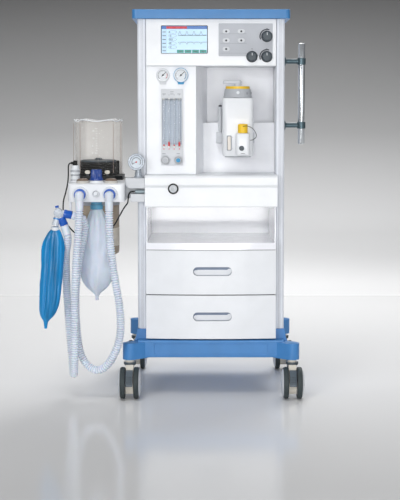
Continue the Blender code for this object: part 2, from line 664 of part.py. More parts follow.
def vaporizer():
    x, y = VAPORIZER
    back = BAY_LOWER_Y - 2 * GAP - 0.024
    plan = rounded([(x - 0.055, -0.245, 0.018), (x + 0.055, -0.245, 0.018), (x + 0.055, back, 0.004),
                    (x - 0.055, back, 0.004)], 0.004, 4)
    shell = prism(plan, 0.862, 1.071)
    fx, fy = FILLER
    spout_plan = rounded([(fx - 0.025, -0.286, 0.010), (fx + 0.025, -0.286, 0.010), (fx + 0.025, -0.230, 0),
                          (fx - 0.025, -0.230, 0)], 0.010, 4)
    spout = prism(spout_plan, 0.868, 0.9461)
    dial_bore = turned([(0.0104, 1.0620), (0.0104, 1.0800)], (x, y, 0.0), segments=24)
    lever_bore = turned([(0.0044, 1.0500), (0.0044, 1.0650)], (x, y, 0.0), segments=20)
    cap_bore = turned([(0.0074, 0.9300), (0.0074, 0.9600)], (fx, fy, 0.0), segments=24)
    body = add("vaporizer_body", cut(union(shell, spout), dial_bore, lever_bore, cap_bore), WHITE,
               (x, y, 0.862))
    dial = turned([(0.0044, 1.0630), (0.0100, 1.0630), (0.0100, 1.0713), (0.0515, 1.0713), (0.0500, 1.0800),
                   (0.0460, 1.1030), (0.0430, 1.1032), (0.0430, 1.1120), (0.0420, 1.1130),
                   (0.0044, 1.1130)], (x, y, 0.0), segments=28, hollow=True)
    add("vaporizer_dial", dial, GREY, (x, y, 1.0713), body)
    shaft = turned([(0.0040, 1.0520), (0.0040, 1.1133), (0.0140, 1.1133), (0.0140, 1.1240)],
                   (x, y, 0.0), segments=24)
    pad = prism(rounded([(x - 0.0530, y - 0.012), (x + 0.0140, y - 0.012), (x + 0.0140, y + 0.012),
                         (x - 0.0530, y + 0.012)], 0.010, 4), 1.1210, 1.1360)
    add("vaporizer_lever", union(shaft, pad), GREY, (x, y, 1.1133), body)
    cap = turned([(0.0070, 0.9340), (0.0070, 0.9465), (0.0165, 0.9465), (0.0175, 0.9480), (0.0175, 0.9770),
                  (0.0160, 0.9785)], (fx, fy, 0.0), segments=24)
    add("filler_cap", cap, YELLOW, (fx, fy, 0.9465), body)
    add_tube("filler_lanyard", LANYARD, 0.0010, BLACK, 0.006)


# ---------------------------------------------------------------- absorber head

def absorber_arm():
    upper = prism([(ARM_LEFT, 0.7860), (ARM_LEFT, 0.7600), (-0.2950, 0.7490), (ARM_RIGHT, 0.7490),
                   (ARM_RIGHT, 0.7860)], -0.255, PILLAR_FRONT - GAP, "Y")
    lower = box((-0.2880, -0.250, 0.7000), (ARM_RIGHT, PILLAR_FRONT - GAP, 0.7285))
    plate = box((-0.3000, -0.215, 0.7100), (ARM_RIGHT, PILLAR_FRONT - GAP, 0.7700))
    side = box((ARM_LEFT, -0.215, 0.7150), (-OUTER_X - GAP, -0.090, 0.7650))
    add("absorber_arm", union(upper, lower, plate, side), GREY)
    socket = turned([(0.0045, -0.2720), (0.0070, -0.2700), (0.0070, -0.2480), (0.0065, -0.2470),
                     (0.0065, -0.2368)], (0.0, -0.235, 0.736), "X", 20)
    add("cable_socket", socket, SLATE)


def absorber_block():
    side = prism([(BLOCK_FRONT, BLOCK_BOTTOM), (BLOCK_BACK, BLOCK_BOTTOM), (BLOCK_BACK, BLOCK_TOP),
                  (-0.2050, BLOCK_TOP), (-0.2840, 0.7680), (BLOCK_FRONT, 0.7640)], -0.600, -0.200, "X")
    plan = prism(rounded([(BLOCK_LEFT, BLOCK_FRONT), (BLOCK_RIGHT, BLOCK_FRONT), (BLOCK_RIGHT, BLOCK_BACK),
                          (BLOCK_LEFT, BLOCK_BACK)], 0.014, 4), 0.600, 0.900)
    block = combine("INTERSECT", side, plan)
    fittings = []
    for x in PORT_X:
        fittings.append(turned([(0.0265, -0.280), (0.0265, -0.302)], (x, 0.0, PORT_Z), "Y", 20))
        fittings.append(turned([(0.0140, -0.290), (0.0140, HOSE_Y)], (x, 0.0, PORT_Z), "Y", 16))
        elbow = [(0.0145, 0.7120), (0.0150, 0.7150), (0.0150, 0.7300), (0.0130, 0.7370),
                 (0.0085, 0.7415), (0.0040, 0.7430)]
        fittings.append(turned(elbow, (x, HOSE_Y, 0.0), segments=16))
    fittings.append(turned([(0.0120, -0.280), (0.0120, -0.298)], (-0.408, 0.0, 0.7323), "Y", 16))
    fittings.append(turned([(0.0165, 0.6900), (0.0175, 0.7100)], (*BAG, 0.0), segments=16))
    fittings.append(turned([(0.0265, 0.7600), (0.0265, 0.7763)], (*APL, 0.0), segments=20))
    fittings.append(turned([(0.0170, 0.7600), (0.0170, 0.7763)], (*SENSOR, 0.0), segments=16))
    for x in VALVES.values():
        fittings.append(turned([(0.0225, 0.7600), (0.0225, 0.7743)], (x, -0.262, 0.0), segments=20))
    clip_stem = box((-0.5040, -0.2750, 0.6480), (-0.4960, -0.2600, 0.7060))
    solid = union(block, clip_stem, *fittings)
    apl_bore = turned([(0.0044, 0.7600), (0.0044, 0.8000)], (*APL, 0.0), segments=20)
    add("absorber_block", cut(solid, apl_bore), WHITE)
    knob = turned([(0.0040, 0.7640), (0.0040, 0.7768), (0.0245, 0.7768), (0.0240, 0.7820),
                   (0.0205, 0.7980), (0.0195, 0.8150), (0.0180, 0.8165)], (*APL, 0.0), segments=20)
    add("apl_knob", knob, ROYAL, (*APL, 0.7768))
    for name, x in VALVES.items():
        dome = turned([(0.0210, 0.7746), (0.0215, 0.7780), (0.0190, 0.7830), (0.0120, 0.7860)],
                      (x, -0.262, 0.0), segments=20)
        add(name, dome, CLEAR)
    cell = turned([(0.0150, 0.7766), (0.0160, 0.7780), (0.0160, 0.7930), (0.0140, 0.7940), (0.0140, 0.7970),
                   (0.0165, 0.7980), (0.0165, 0.8150), (0.0140, 0.8160), (0.0125, 0.8290),
                   (0.0080, 0.8300), (0.0075, 0.8450), (0.0055, 0.8470)], (*SENSOR, 0.0), segments=16)
    plug = rod((*SENSOR, 0.8380), (SENSOR[0] - 0.0090, SENSOR[1], 0.8380), 0.0045, 12)
    add("o2_sensor", union(cell, plug), SILVER)


def bellows_unit():
    top = BLOCK_TOP + GAP
    add("bellows_base", prism(octagon(DOME, 0.0920, 0.026), top, 0.7900), BLACK)
    outer = [dome_ring(0.0895, z, rise) for z, rise in ((0.7903, 0.0), (0.9900, 0.008))]
    inner = [dome_ring(0.0865, z, rise) for z, rise in ((0.9870, 0.008), (0.7903, 0.0))]
    add("bellows_dome", dome_shell(outer, inner), CLEAR)
    pleats = []
    for i in range(5):
        z = 0.7906 + 0.0092 * i
        pleats += [(0.0580, z), (0.0660, z + 0.0046)]
    pleats.append((0.0580, 0.8366))
    add("bellows", turned(pleats, (*DOME, 0.0), segments=24), BLACK)
    disc = turned([(0.0600, 0.8369), (0.0640, 0.8385), (0.0640, 0.8430), (0.0600, 0.8450), (0.0120, 0.8455),
                   (0.0100, 0.8520)], (*DOME, 0.0), segments=24)
    add("bellows_disc", disc, BLACK, (*DOME, 0.8369))


def dome_ring(half, z, rise):
    """The dome's octagon with a point at the middle of each side; its corners stand up by the rise."""
    corners = octagon(DOME, half, 0.026)
    ring = []
    for i, corner in enumerate(corners):
        following = corners[(i + 1) % len(corners)]
        ring.append((*corner, z + rise))
        ring.append(((corner[0] + following[0]) / 2, (corner[1] + following[1]) / 2, z))
    return ring


def dome_shell(outer, inner):
    """A cup with its mouth down: outer wall, top, inner wall, under a top that dips to its centre."""
    bm = bmesh.new()
    rows = [[bm.verts.new(point) for point in ring] for ring in outer + inner]
    count = len(rows[0])
    for row, following in ((rows[0], rows[1]), (rows[2], rows[3]), (rows[3], rows[0])):
        for i in range(count):
            j = (i + 1) % count
            bm.faces.new((row[i], row[j], following[j], following[i]))
    for row in (rows[1], rows[2]):
        peak = bm.verts.new((*DOME, row[1].co.z - 0.001))
        for i in range(count):
            bm.faces.new((row[i], row[(i + 1) % count], peak))
    return finished(bm)


def airway_gauge():
    x, z = -0.2663, 0.843
    dial = turned([(0.0240, -0.2240), (0.0285, -0.2270), (0.0300, -0.2320), (0.0300, -0.2600),
                   (0.0285, -0.2620), (0.0265, -0.2620), (0.0265, -0.2590)], (x, 0.0, z), "Y", 24)
    stem = turned([(0.0100, 0.7863), (0.0100, 0.7920), (0.0065, 0.7940), (0.0065, 0.8300)],
                  (x + 0.006, -0.2420, 0.0), segments=14)
    add("airway_gauge", union(dial, stem), SILVER)


def canister():
    profile = [(0.0600, 0.4960), (0.0680, 0.4985), (0.0715, 0.5050), (0.0720, 0.5150), (0.0720, 0.6800),
               (0.0740, 0.6820), (0.0740, BLOCK_BOTTOM - GAP)]
    add("canister", turned(profile, (*CANISTER, 0.0), segments=28), CLEAR, (*CANISTER, 0.6000))


def soft_bag(stations, segments=16):
    """A closed bag through flat oval rings, each (x, y, z, half width, half depth)."""
    rings = []
    for x, y, z, wide, deep in stations:
        ring = []
        for i in range(segments):
            a = 2 * math.pi * i / segments
            ring.append((x + wide * math.cos(a), y + deep * math.sin(a), z))
        rings.append(ring)
    return loft(rings)


def bags():
    x, y = BAG
    sizes = [(0.6897, 0.0200, 0.0200), (0.6740, 0.0210, 0.0210), (0.6550, 0.0290, 0.0250),
             (0.6200, 0.0440, 0.0330), (0.5700, 0.0560, 0.0370), (0.5050, 0.0615, 0.0400),
             (0.4550, 0.0620, 0.0400), (0.4200, 0.0550, 0.0370), (0.3900, 0.0360, 0.0270),
             (0.3720, 0.0160, 0.0140), (0.3600, 0.0070, 0.0070), (0.3440, 0.0060, 0.0060)]
    add("reservoir_bag", soft_bag([(x, y, z, w, d) for z, w, d in sizes]), FROST)
    leaning = [(-0.5525, 0.6155, 0.0135, 0.0130), (-0.5525, 0.6080, 0.0150, 0.0140),
               (-0.5550, 0.5900, 0.0260, 0.0180), (-0.5600, 0.5500, 0.0380, 0.0220),
               (-0.5640, 0.4800, 0.0400, 0.0230), (-0.5700, 0.4000, 0.0390, 0.0230),
               (-0.5760, 0.3400, 0.0360, 0.0210), (-0.5830, 0.3000, 0.0260, 0.0170),
               (-0.5880, 0.2760, 0.0090, 0.0090), (-0.5890, 0.2520, 0.0055, 0.0055)]
    add("test_bag", soft_bag([(x, -0.2950, z, w, d) for x, z, w, d in leaning]), BLUE)


def y_piece():
    y = -0.2900
    elbow = (-0.5415, y, 0.6650)
    arms = [rod(elbow, (-0.5524, y - 0.004, 0.6194), 0.0125),
            rod((-0.5400, y, 0.6720), (-0.4930, y, 0.6560), 0.0115),
            rod((-0.5330, y, 0.6640), (-0.5204, y, 0.6205), 0.0115),
            rod(elbow, (-0.5470, y, 0.6900), 0.0060, 12)]
    add("y_piece", union(rod((-0.5415, y - 0.0135, 0.6640), (-0.5415, y + 0.0135, 0.6640), 0.0140), *arms),
        WHITE)


def hoses():
    add_tube("breathing_hose_left", LEFT_HOSE, HOSE_RADIUS, FROST, 0.030)
    add_tube("breathing_hose_right", RIGHT_HOSE, HOSE_RADIUS, FROST, 0.030)
    add_tube("sensor_cable", SENSOR_CABLE, CABLE_RADIUS, BLACK, 0.012)


def main():
    for item in list(bpy.data.objects):
        bpy.data.objects.remove(item, do_unlink=True)
    trolley = bpy.data.objects.new("trolley", None)
    bpy.context.collection.objects.link(trolley)
    trolley.location = (TROLLEY_X, TROLLEY_Y, 0.0)
    parents["trolley"] = trolley
    base_frame()
    casters()
    pillars()
    back_panel()
    top_tray()
    handle_pole()
    drawer("drawer_upper", UPPER_FRONT, 0.4495)
    drawer("drawer_lower", LOWER_FRONT, 0.2857)
    shelf_tray()
    worktop()
    monitor()
    gas_column()
    bay()
    vaporizer()
    absorber_arm()
    absorber_block()
    bellows_unit()
    airway_gauge()
    canister()
    bags()
    y_piece()
    hoses()


main()
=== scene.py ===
"""Looks for the anesthesia machine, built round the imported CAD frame. Metres, +Z up, front at -Y."""
import math

import bmesh
import bpy
from mathutils import Matrix, Vector, noise


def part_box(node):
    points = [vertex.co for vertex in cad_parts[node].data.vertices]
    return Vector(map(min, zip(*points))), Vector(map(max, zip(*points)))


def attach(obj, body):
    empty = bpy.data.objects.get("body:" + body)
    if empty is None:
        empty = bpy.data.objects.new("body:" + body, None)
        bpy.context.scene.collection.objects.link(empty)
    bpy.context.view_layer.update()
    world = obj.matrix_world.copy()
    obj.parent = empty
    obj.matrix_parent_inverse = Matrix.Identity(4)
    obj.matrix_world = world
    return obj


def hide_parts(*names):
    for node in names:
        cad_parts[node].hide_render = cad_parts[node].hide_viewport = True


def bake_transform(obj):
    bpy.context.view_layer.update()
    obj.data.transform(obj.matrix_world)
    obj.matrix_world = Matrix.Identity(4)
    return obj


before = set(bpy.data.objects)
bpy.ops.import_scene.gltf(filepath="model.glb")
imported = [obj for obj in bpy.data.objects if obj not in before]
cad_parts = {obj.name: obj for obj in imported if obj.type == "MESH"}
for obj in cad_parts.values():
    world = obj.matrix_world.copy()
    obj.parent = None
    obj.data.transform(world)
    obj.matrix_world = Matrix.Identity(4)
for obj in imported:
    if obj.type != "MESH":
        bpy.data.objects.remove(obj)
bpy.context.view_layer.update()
TROLLEY = Vector((0.084, 0.031, 0.0))
ROOT = "trolley"


# ---------------------------------------------------------------- shapes

def finished(bm):
    bmesh.ops.recalc_face_normals(bm, faces=bm.faces)
    mesh = bpy.data.meshes.new("shape")
    bm.to_mesh(mesh)
    bm.free()
    return mesh


def skin(rings, hollow=False):
    """A closed skin over rings of points; a hollow one joins its last ring to its first."""
    bm = bmesh.new()
    rows = [[bm.verts.new(p) for p in ring] for ring in rings]
    pairs = list(zip(rows, rows[1:]))
    if hollow:
        pairs.append((rows[-1], rows[0]))
    for a, b in pairs:
        for i in range(len(a)):
            j = (i + 1) % len(a)
            bm.faces.new((a[i], a[j], b[j], b[i]))
    if not hollow:
        bm.faces.new(rows[0])
        bm.faces.new(rows[-1])
    return finished(bm)


def turned(profile, centre, axis="Z", segments=64, hollow=False, flutes=0, depth=0.0, fluted=(0, 99), at=0.0):
    """A turned solid of (radius, height) pairs round an axis through centre. Heights start from at."""
    rings = []
    k = "XYZ".index(axis)
    for n, (radius, height) in enumerate(profile):
        ring = []
        for i in range(segments):
            a = 2 * math.pi * i / segments
            r = radius
            if flutes and fluted[0] <= n <= fluted[1]:
                r -= depth * (0.5 + 0.5 * math.cos(flutes * a)) ** 2
            u, v = r * math.cos(a), r * math.sin(a)
            spot = {"X": [0, u, v], "Y": [u, 0, v], "Z": [u, v, 0]}[axis]
            spot = [c + d for c, d in zip(centre, spot)]
            spot[k] = at + height
            ring.append(spot)
        rings.append(ring)
    return skin(rings, hollow)


def facing(rings):
    """A ring facing the front, from (outline, depth) pairs."""
    return skin([[(u, depth, v) for u, v in shape] for shape, depth in rings], True)


def prism(outline, start, end, axis="Z"):
    """An outline in the other two coordinates, in XYZ order, pushed along an axis."""
    k = "XYZ".index(axis)
    rings = []
    for depth in (start, end):
        ring = []
        for pair in outline:
            spot = list(pair)
            spot.insert(k, depth)
            ring.append(spot)
        rings.append(ring)
    return skin(rings)


def rounded(low, high, radius, steps=8):
    """A rectangle's outline with round corners."""
    points = []
    corners = ((high[0] - radius, high[1] - radius), (low[0] + radius, high[1] - radius),
            (low[0] + radius, low[1] + radius), (high[0] - radius, low[1] + radius))
    for n, (x, y) in enumerate(corners):
        for step in range(steps + 1):
            a = math.pi / 2 * (n + step / steps)
            points.append((x + radius * math.cos(a), y + radius * math.sin(a)))
    return points


def soft_block(low, high, radius, levels, steps=10, ease=0.5, back=0.0):
    """A block with round corners from (inset, z) levels. Its back edge is drawn in by the share given."""
    rings = []
    for inset, z in levels:
        shape = rounded((low[0] + inset, low[1] + inset), (high[0] - inset, high[1] - inset * back),
                radius - inset * ease, steps)
        rings.append([(u, v, z) for u, v in shape])
    return skin(rings)


def boxes(blocks):
    """One mesh of separate boxes, each given by two corners."""
    bm = bmesh.new()
    for low, high in blocks:
        made = bmesh.ops.create_cube(bm, size=1.0)["verts"]
        for vertex in made:
            vertex.co = Vector([(a + b) / 2 + c * (b - a) for a, b, c in zip(low, high, vertex.co)])
    return finished(bm)


def joined(*meshes):
    """One mesh of several, each left as it is."""
    bm = bmesh.new()
    for mesh in meshes:
        bm.from_mesh(mesh)
    return finished(bm)


def blend_weights(t):
    """The four weights of a smooth curve: start, start slope, end, end slope."""
    return 2 * t**3 - 3 * t**2 + 1, t**3 - 2 * t**2 + t, 3 * t**2 - 2 * t**3, t**3 - t**2


def smooth_route(points, spacing):
    """Points about one spacing apart along a smooth curve through the given points."""
    knots = [Vector(p) for p in points]
    dense = []
    for i in range(len(knots) - 1):
        a, b = knots[i], knots[i + 1]
        before = knots[i - 1] if i else a
        after = knots[i + 2] if i + 2 < len(knots) else b
        slope_a, slope_b = (b - before) / 2, (after - a) / 2
        for step in range(24):
            h = blend_weights(step / 24)
            dense.append(a * h[0] + slope_a * h[1] + b * h[2] + slope_b * h[3])
    dense.append(knots[-1])
    travelled = [0.0]
    for a, b in zip(dense, dense[1:]):
        travelled.append(travelled[-1] + (b - a).length)
    count = max(2, round(travelled[-1] / spacing))
    route = []
    index = 0
    for i in range(count + 1):
        goal = travelled[-1] * i / count
        while index < len(dense) - 2 and travelled[index + 1] < goal:
            index += 1
        share = (goal - travelled[index]) / (travelled[index + 1] - travelled[index])
        route.append(dense[index].lerp(dense[index + 1], share))
    return route, travelled[-1]


def sweep(points, radii, sides=16, hollow=False):
    """A tube along points. The radius is one number, or one for each point."""
    points = [Vector(p) for p in points]
    across = None
    rings = []
    for i, here in enumerate(points):
        ahead = (points[min(i + 1, len(points) - 1)] - points[max(i - 1, 0)]).normalized()
        across = ahead.orthogonal() if across is None else across - ahead * across.dot(ahead)
        across.normalize()
        up = ahead.cross(across)
        r = radii if isinstance(radii, float) else radii[i]
        ring = []
        for n in range(sides):
            a = 2 * math.pi * n / sides
            ring.append(here + r * (math.cos(a) * across + math.sin(a) * up))
        rings.append(ring)
    return skin(rings, hollow)


# ---------------------------------------------------------------- materials

def noise_node(tree, coords, scale, detail=3.0, stretch=None):
    node = tree.nodes.new("ShaderNodeTexNoise")
    node.inputs["Scale"].default_value = scale
    node.inputs["Detail"].default_value = detail
    source = coords.outputs["Object"]
    if stretch:
        mapping = tree.nodes.new("ShaderNodeMapping")
        mapping.inputs["Scale"].default_value = stretch
        tree.links.new(source, mapping.inputs["Vector"])
        source = mapping.outputs["Vector"]
    tree.links.new(source, node.inputs["Vector"])
    return node


def surface(name, colour, rough=0.4, metal=0.0, vary=0.06, grain=700.0, bump=0.00012, smear=0.1,
        stretch=None, **sockets):
    """A Principled material: blotches in the colour, smears in the gloss and a fine grain in the relief."""
    mat = bpy.data.materials.new(name)
    mat.use_nodes = True
    tree = mat.node_tree
    shader = tree.nodes["Principled BSDF"]
    coords = tree.nodes.new("ShaderNodeTexCoord")
    blotch = noise_node(tree, coords, 14.0, 6.0, stretch)
    ramp = tree.nodes.new("ShaderNodeValToRGB")
    ramp.color_ramp.elements[0].position = 0.32
    ramp.color_ramp.elements[1].position = 0.7
    ramp.color_ramp.elements[0].color = (*[c * (1 - vary) for c in colour], 1.0)
    ramp.color_ramp.elements[1].color = (*[min(1.0, c * (1 + vary)) for c in colour], 1.0)
    tree.links.new(blotch.outputs["Fac"], ramp.inputs["Fac"])
    tree.links.new(ramp.outputs["Color"], shader.inputs["Base Color"])
    smears = noise_node(tree, coords, 38.0, 4.0, stretch)
    spread = tree.nodes.new("ShaderNodeMapRange")
    spread.inputs["To Min"].default_value = max(0.02, rough - smear)
    spread.inputs["To Max"].default_value = min(1.0, rough + smear)
    tree.links.new(smears.outputs["Fac"], spread.inputs["Value"])
    tree.links.new(spread.outputs["Result"], shader.inputs["Roughness"])
    fine = noise_node(tree, coords, grain, 2.0, stretch)
    relief = tree.nodes.new("ShaderNodeBump")
    relief.inputs["Strength"].default_value = 0.35
    relief.inputs["Distance"].default_value = bump
    tree.links.new(fine.outputs["Fac"], relief.inputs["Height"])
    tree.links.new(relief.outputs["Normal"], shader.inputs["Normal"])
    shader.inputs["Metallic"].default_value = metal
    for socket, value in sockets.items():
        shader.inputs[socket.replace("_", " ")].default_value = value
    return mat


def lit(name, colour, strength=0.28):
    return surface(name, colour, 0.25, vary=0.03, Emission_Color=(*colour, 1.0), Emission_Strength=strength)


WHITE = surface("white_enamel", (0.78, 0.8, 0.83), 0.34, vary=0.025, Coat_Weight=0.15)
POWDER = surface("white_powder_coat", (0.76, 0.79, 0.85), 0.42, vary=0.03, grain=420.0, bump=0.0002)
BAY = surface("bay_grey_white", (0.93, 0.94, 0.98), 0.4, vary=0.04)
INNER = surface("shelf_white", (0.92, 0.93, 0.98), 0.1, vary=0.02, Specular_IOR_Level=0.9)
BLUE = surface("base_blue_paint", (0.05, 0.215, 0.51), 0.38, vary=0.07, grain=380.0, bump=0.0002)
TOP_BLUE = surface("tray_blue_plastic", (0.048, 0.205, 0.47), 0.36, vary=0.05, grain=500.0)
TRIM_BLUE = surface("trim_blue_plastic", (0.02, 0.22, 0.56), 0.3, vary=0.05, Coat_Weight=0.3)
STEEL = surface("polished_steel", (0.66, 0.69, 0.72), 0.17, 1.0, vary=0.03, stretch=(1.0, 1.0, 0.05))
SATIN = surface("satin_metal", (0.6, 0.61, 0.62), 0.3, 1.0, vary=0.05)
TEAL_GREY = surface("teal_grey_metal", (0.07, 0.11, 0.13), 0.34, 0.6, vary=0.08)
GREY = surface("grey_plastic", (0.43, 0.45, 0.48), 0.45, vary=0.05)
LIGHT_GREY = surface("light_grey_plastic", (0.6, 0.62, 0.65), 0.42, vary=0.05)
MID_GREY = surface("mid_grey_plastic", (0.24, 0.26, 0.29), 0.42, vary=0.06)
SLATE = surface("slate_plastic", (0.045, 0.062, 0.075), 0.42, vary=0.12)
BLACK = surface("black_plastic", (0.008, 0.009, 0.01), 0.42, vary=0.15, Specular_IOR_Level=0.3)
PEDAL = surface("pedal_blue_grey", (0.075, 0.1, 0.125), 0.4, vary=0.08)
RUBBER = surface("tyre_rubber", (0.028, 0.04, 0.043), 0.62, vary=0.15, grain=900.0, bump=0.0003)
INK = surface("dark_ink", (0.03, 0.035, 0.045), 0.5, vary=0.1)
CREAM = surface("cream_plastic", (0.7, 0.66, 0.58), 0.45, vary=0.06)
BEIGE = surface("beige_plate", (0.56, 0.54, 0.5), 0.42, vary=0.05)
ROYAL = surface("royal_blue_plastic", (0.004, 0.045, 0.26), 0.3, vary=0.08, Coat_Weight=0.4)
HOSE_BLUE = surface("connector_blue", (0.005, 0.1, 0.5), 0.3, vary=0.06, Coat_Weight=0.3)
TEAL = surface("teal_rubber", (0.1, 0.33, 0.5), 0.45, vary=0.08)
YELLOW = surface("yellow_plastic", (0.85, 0.55, 0.02), 0.36, vary=0.05)
CYAN = surface("cyan_plastic", (0.0, 0.25, 0.5), 0.35, vary=0.05)
RED = surface("red_plastic", (0.62, 0.03, 0.03), 0.35, vary=0.06)
ORANGE = surface("orange_mark", (0.85, 0.25, 0.04), 0.45, vary=0.06)
DIAL = surface("dial_face", (0.74, 0.77, 0.8), 0.45, vary=0.02)
CASE_GREY = surface("case_blue_grey", (0.38, 0.42, 0.47), 0.28, 0.25, vary=0.05)
PALE_BLUE = surface("pale_blue_face", (0.66, 0.73, 0.8), 0.45, vary=0.03)
DOME = surface("clear_tinted_plastic", (0.88, 0.86, 0.83), 0.06, vary=0.03, bump=0.00002, smear=0.03,
        Alpha=0.015)
DOME_BACK = surface("milky_plastic", (0.9, 0.87, 0.83), 0.25, vary=0.04, bump=0.00002, Alpha=0.4)
# Brown for the dome's seam line and for the painted shade down its clear corners.
DOME_EDGE = surface("dome_edge_shade_and_seam", (0.3, 0.24, 0.21), 0.2, vary=0.08)
TUBE = surface("flow_tube_plastic", (0.72, 0.78, 0.86), 0.08, vary=0.03, bump=0.00002, smear=0.03, Alpha=0.3)
# Grey of the painted shadow in the drawer pulls' recesses.
PULL_SHADE = surface("pull_painted_shadow", (0.22, 0.27, 0.37), 0.45, vary=0.06)
PLATE = surface("keypad_grey", (0.44, 0.46, 0.5), 0.42, vary=0.05)
SOCKET = surface("socket_grey", (0.33, 0.41, 0.44), 0.35, 0.2, vary=0.08)
FLOW_BACK = surface("flow_back_blue_grey", (0.42, 0.48, 0.56), 0.45, vary=0.04)
VALVE = surface("brown_clear_plastic", (0.2, 0.145, 0.11), 0.3, vary=0.15, Specular_IOR_Level=0.3)
SMOKE = surface("canister_plastic", (0.6, 0.5, 0.38), 0.22, vary=0.08, Transmission_Weight=0.35)
GRANULES = surface("granules", (0.7, 0.64, 0.55), 0.8, vary=0.2, grain=260.0, bump=0.0012)
HOSE = surface("hose_plastic", (0.8, 0.86, 0.96), 0.33, vary=0.06, Transmission_Weight=0.12,
        Subsurface_Weight=0.15, Subsurface_Scale=0.01)
# Darker hose colour for the painted shade in the hose grooves.
GROOVE_SHADE = surface("hose_groove_painted_shade", (0.58, 0.65, 0.77), 0.5, vary=0.1)
CLOUDY = surface("y_clear_plastic", (0.72, 0.78, 0.86), 0.2, vary=0.04, Transmission_Weight=0.3)
BAG = surface("bag_rubber", (0.7, 0.77, 0.88), 0.36, vary=0.08, grain=240.0, bump=0.0003,
        Transmission_Weight=0.15, Subsurface_Weight=0.25, Subsurface_Scale=0.02)
BAG_BLUE = surface("blue_bag_rubber", (0.0, 0.21, 0.5), 0.3, vary=0.38, grain=240.0, bump=0.0003,
        stretch=(2.6, 2.6, 0.22))
FIELD = lit("screen_field", (0.42, 0.6, 0.76))
BAR = lit("screen_bar", (0.03, 0.12, 0.36))
ALARM = lit("screen_alarm", (0.42, 0.01, 0.02))
KEYS = lit("screen_keys", (0.0, 0.2, 0.17))
PANEL = lit("screen_column", (0.38, 0.54, 0.7))


# ---------------------------------------------------------------- pieces

def piece(name, mesh, mat, body=ROOT, replaces=(), bevel=0.0, angle=35):
    """Add a piece that rides on a CAD body and may stand for CAD nodes."""
    mesh.name = name
    mesh.materials.clear()
    mesh.materials.append(mat)
    mesh.shade_smooth()
    mesh.set_sharp_from_angle(angle=math.radians(angle))
    obj = linked(name, mesh)
    if bevel:
        soften(obj, bevel)
    if replaces:
        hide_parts(*([replaces] if isinstance(replaces, str) else replaces))
    if body:
        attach(obj, body)
    return obj


def soften(obj, width, segments=3):
    modifier = obj.modifiers.new("edges", "BEVEL")
    modifier.width = width
    modifier.segments = segments
    modifier.limit_method = "ANGLE"
    modifier.angle_limit = math.radians(38)
    flat = obj.modifiers.new("flats", "WEIGHTED_NORMAL")
    flat.keep_sharp = True


def carry(node, mat, bevel=0.0008):
    """A CAD node that keeps its shape, with its edges rounded and a material."""
    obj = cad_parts[node]
    weld = obj.modifiers.new("weld", "WELD")
    weld.merge_threshold = 0.00002
    if bevel:
        soften(obj, bevel, 2)
    smooth = obj.data
    smooth.shade_smooth()
    smooth.set_sharp_from_angle(angle=math.radians(35))
    for slot in obj.material_slots:
        slot.material = mat
    if not obj.material_slots:
        obj.data.materials.append(mat)
    return obj


def corners(node):
    low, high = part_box(node)
    return Vector(low), Vector(high)


def centre(node):
    low, high = corners(node)
    return (low + high) / 2


def round_box(node):
    """A round CAD node's corners, middle and radius."""
    low, high = corners(node)
    return low, high, (low + high) / 2, (high.x - low.x) / 2


def ring_at(c, radius, width, start, end, axis="Z", segments=64):
    """A flat ring round an axis, from its outer radius inwards by its width."""
    inner = radius - width
    return turned([(radius, start), (radius, end), (inner, end), (inner, start)], c, axis, segments, True)


def arc_at(c, radius, width, y_front, y_back, first, last, steps=24):
    """A flat arc facing the front, between two angles in degrees from +X."""
    rings = []
    for i in range(steps + 1):
        a = math.radians(first + (last - first) * i / steps)
        near, far = radius - width, radius
        rings.append([(c[0] + r * math.cos(a), y, c[2] + r * math.sin(a)) for r, y in ((far, y_front),
                (far, y_back), (near, y_back), (near, y_front))])
    return skin(rings)


def ticks_at(c, radius, length, width, y_front, y_back, first, last, count):
    """Radial tick marks facing the front."""
    marks = []
    for i in range(count):
        a = math.radians(first + (last - first) * i / (count - 1))
        out = Vector((math.cos(a), math.sin(a)))
        side = Vector((-out.y, out.x)) * width / 2
        near, far = out * (radius - length), out * radius
        shape = [near + side, far + side, far - side, near - side]
        marks.append(prism([(c[0] + p.x, c[2] + p.y) for p in shape], y_front, y_back, "Y"))
    return joined(*marks)


SEGMENTS = {0: "abcdef", 1: "bc", 2: "abged", 3: "abgcd", 4: "fgbc", 5: "afgcd", 6: "afgedc", 7: "abc", 8:
        "abcdefg", 9: "abcdfg"}


def number_blocks(value, x, z, height, y_front, y_back):
    """The strokes of a number in seven-segment figures, its lower left corner at x and z."""
    w, h, t = height * 0.5, height, height * 0.13
    strokes = {"a": (0, h - t, w, h), "b": (w - t, h / 2, w, h), "c": (w - t, 0, w, h / 2),
            "d": (0, 0, w, t), "e": (0, 0, t, h / 2), "f": (0, h / 2, t, h), "g": (0, h / 2 - t / 2, w, h / 2
            + t / 2)}
    blocks = []
    for n, figure in enumerate(str(value)):
        left = x + n * height * 0.72
        for key in SEGMENTS[int(figure)]:
            a, b, c, d = strokes[key]
            blocks.append(((left + a, y_front, z + b), (left + c, y_back, z + d)))
    return blocks


# ---------------------------------------------------------------- camera and stage

def linked(name, data):
    """A new object in the scene."""
    obj = bpy.data.objects.new(name, data)
    bpy.context.scene.collection.objects.link(obj)
    return obj


def grey_ramp(tree, stops, tint=(1.0, 1.0, 1.0)):
    """A colour ramp of (position, level) stops."""
    ramp = tree.nodes.new("ShaderNodeValToRGB")
    elements = ramp.color_ramp.elements
    while len(elements) < len(stops):
        elements.new(0.5)
    for element, (spot, level) in zip(elements, stops):
        element.position = spot
        element.color = (*[level * part for part in tint], 1.0)
    return ramp


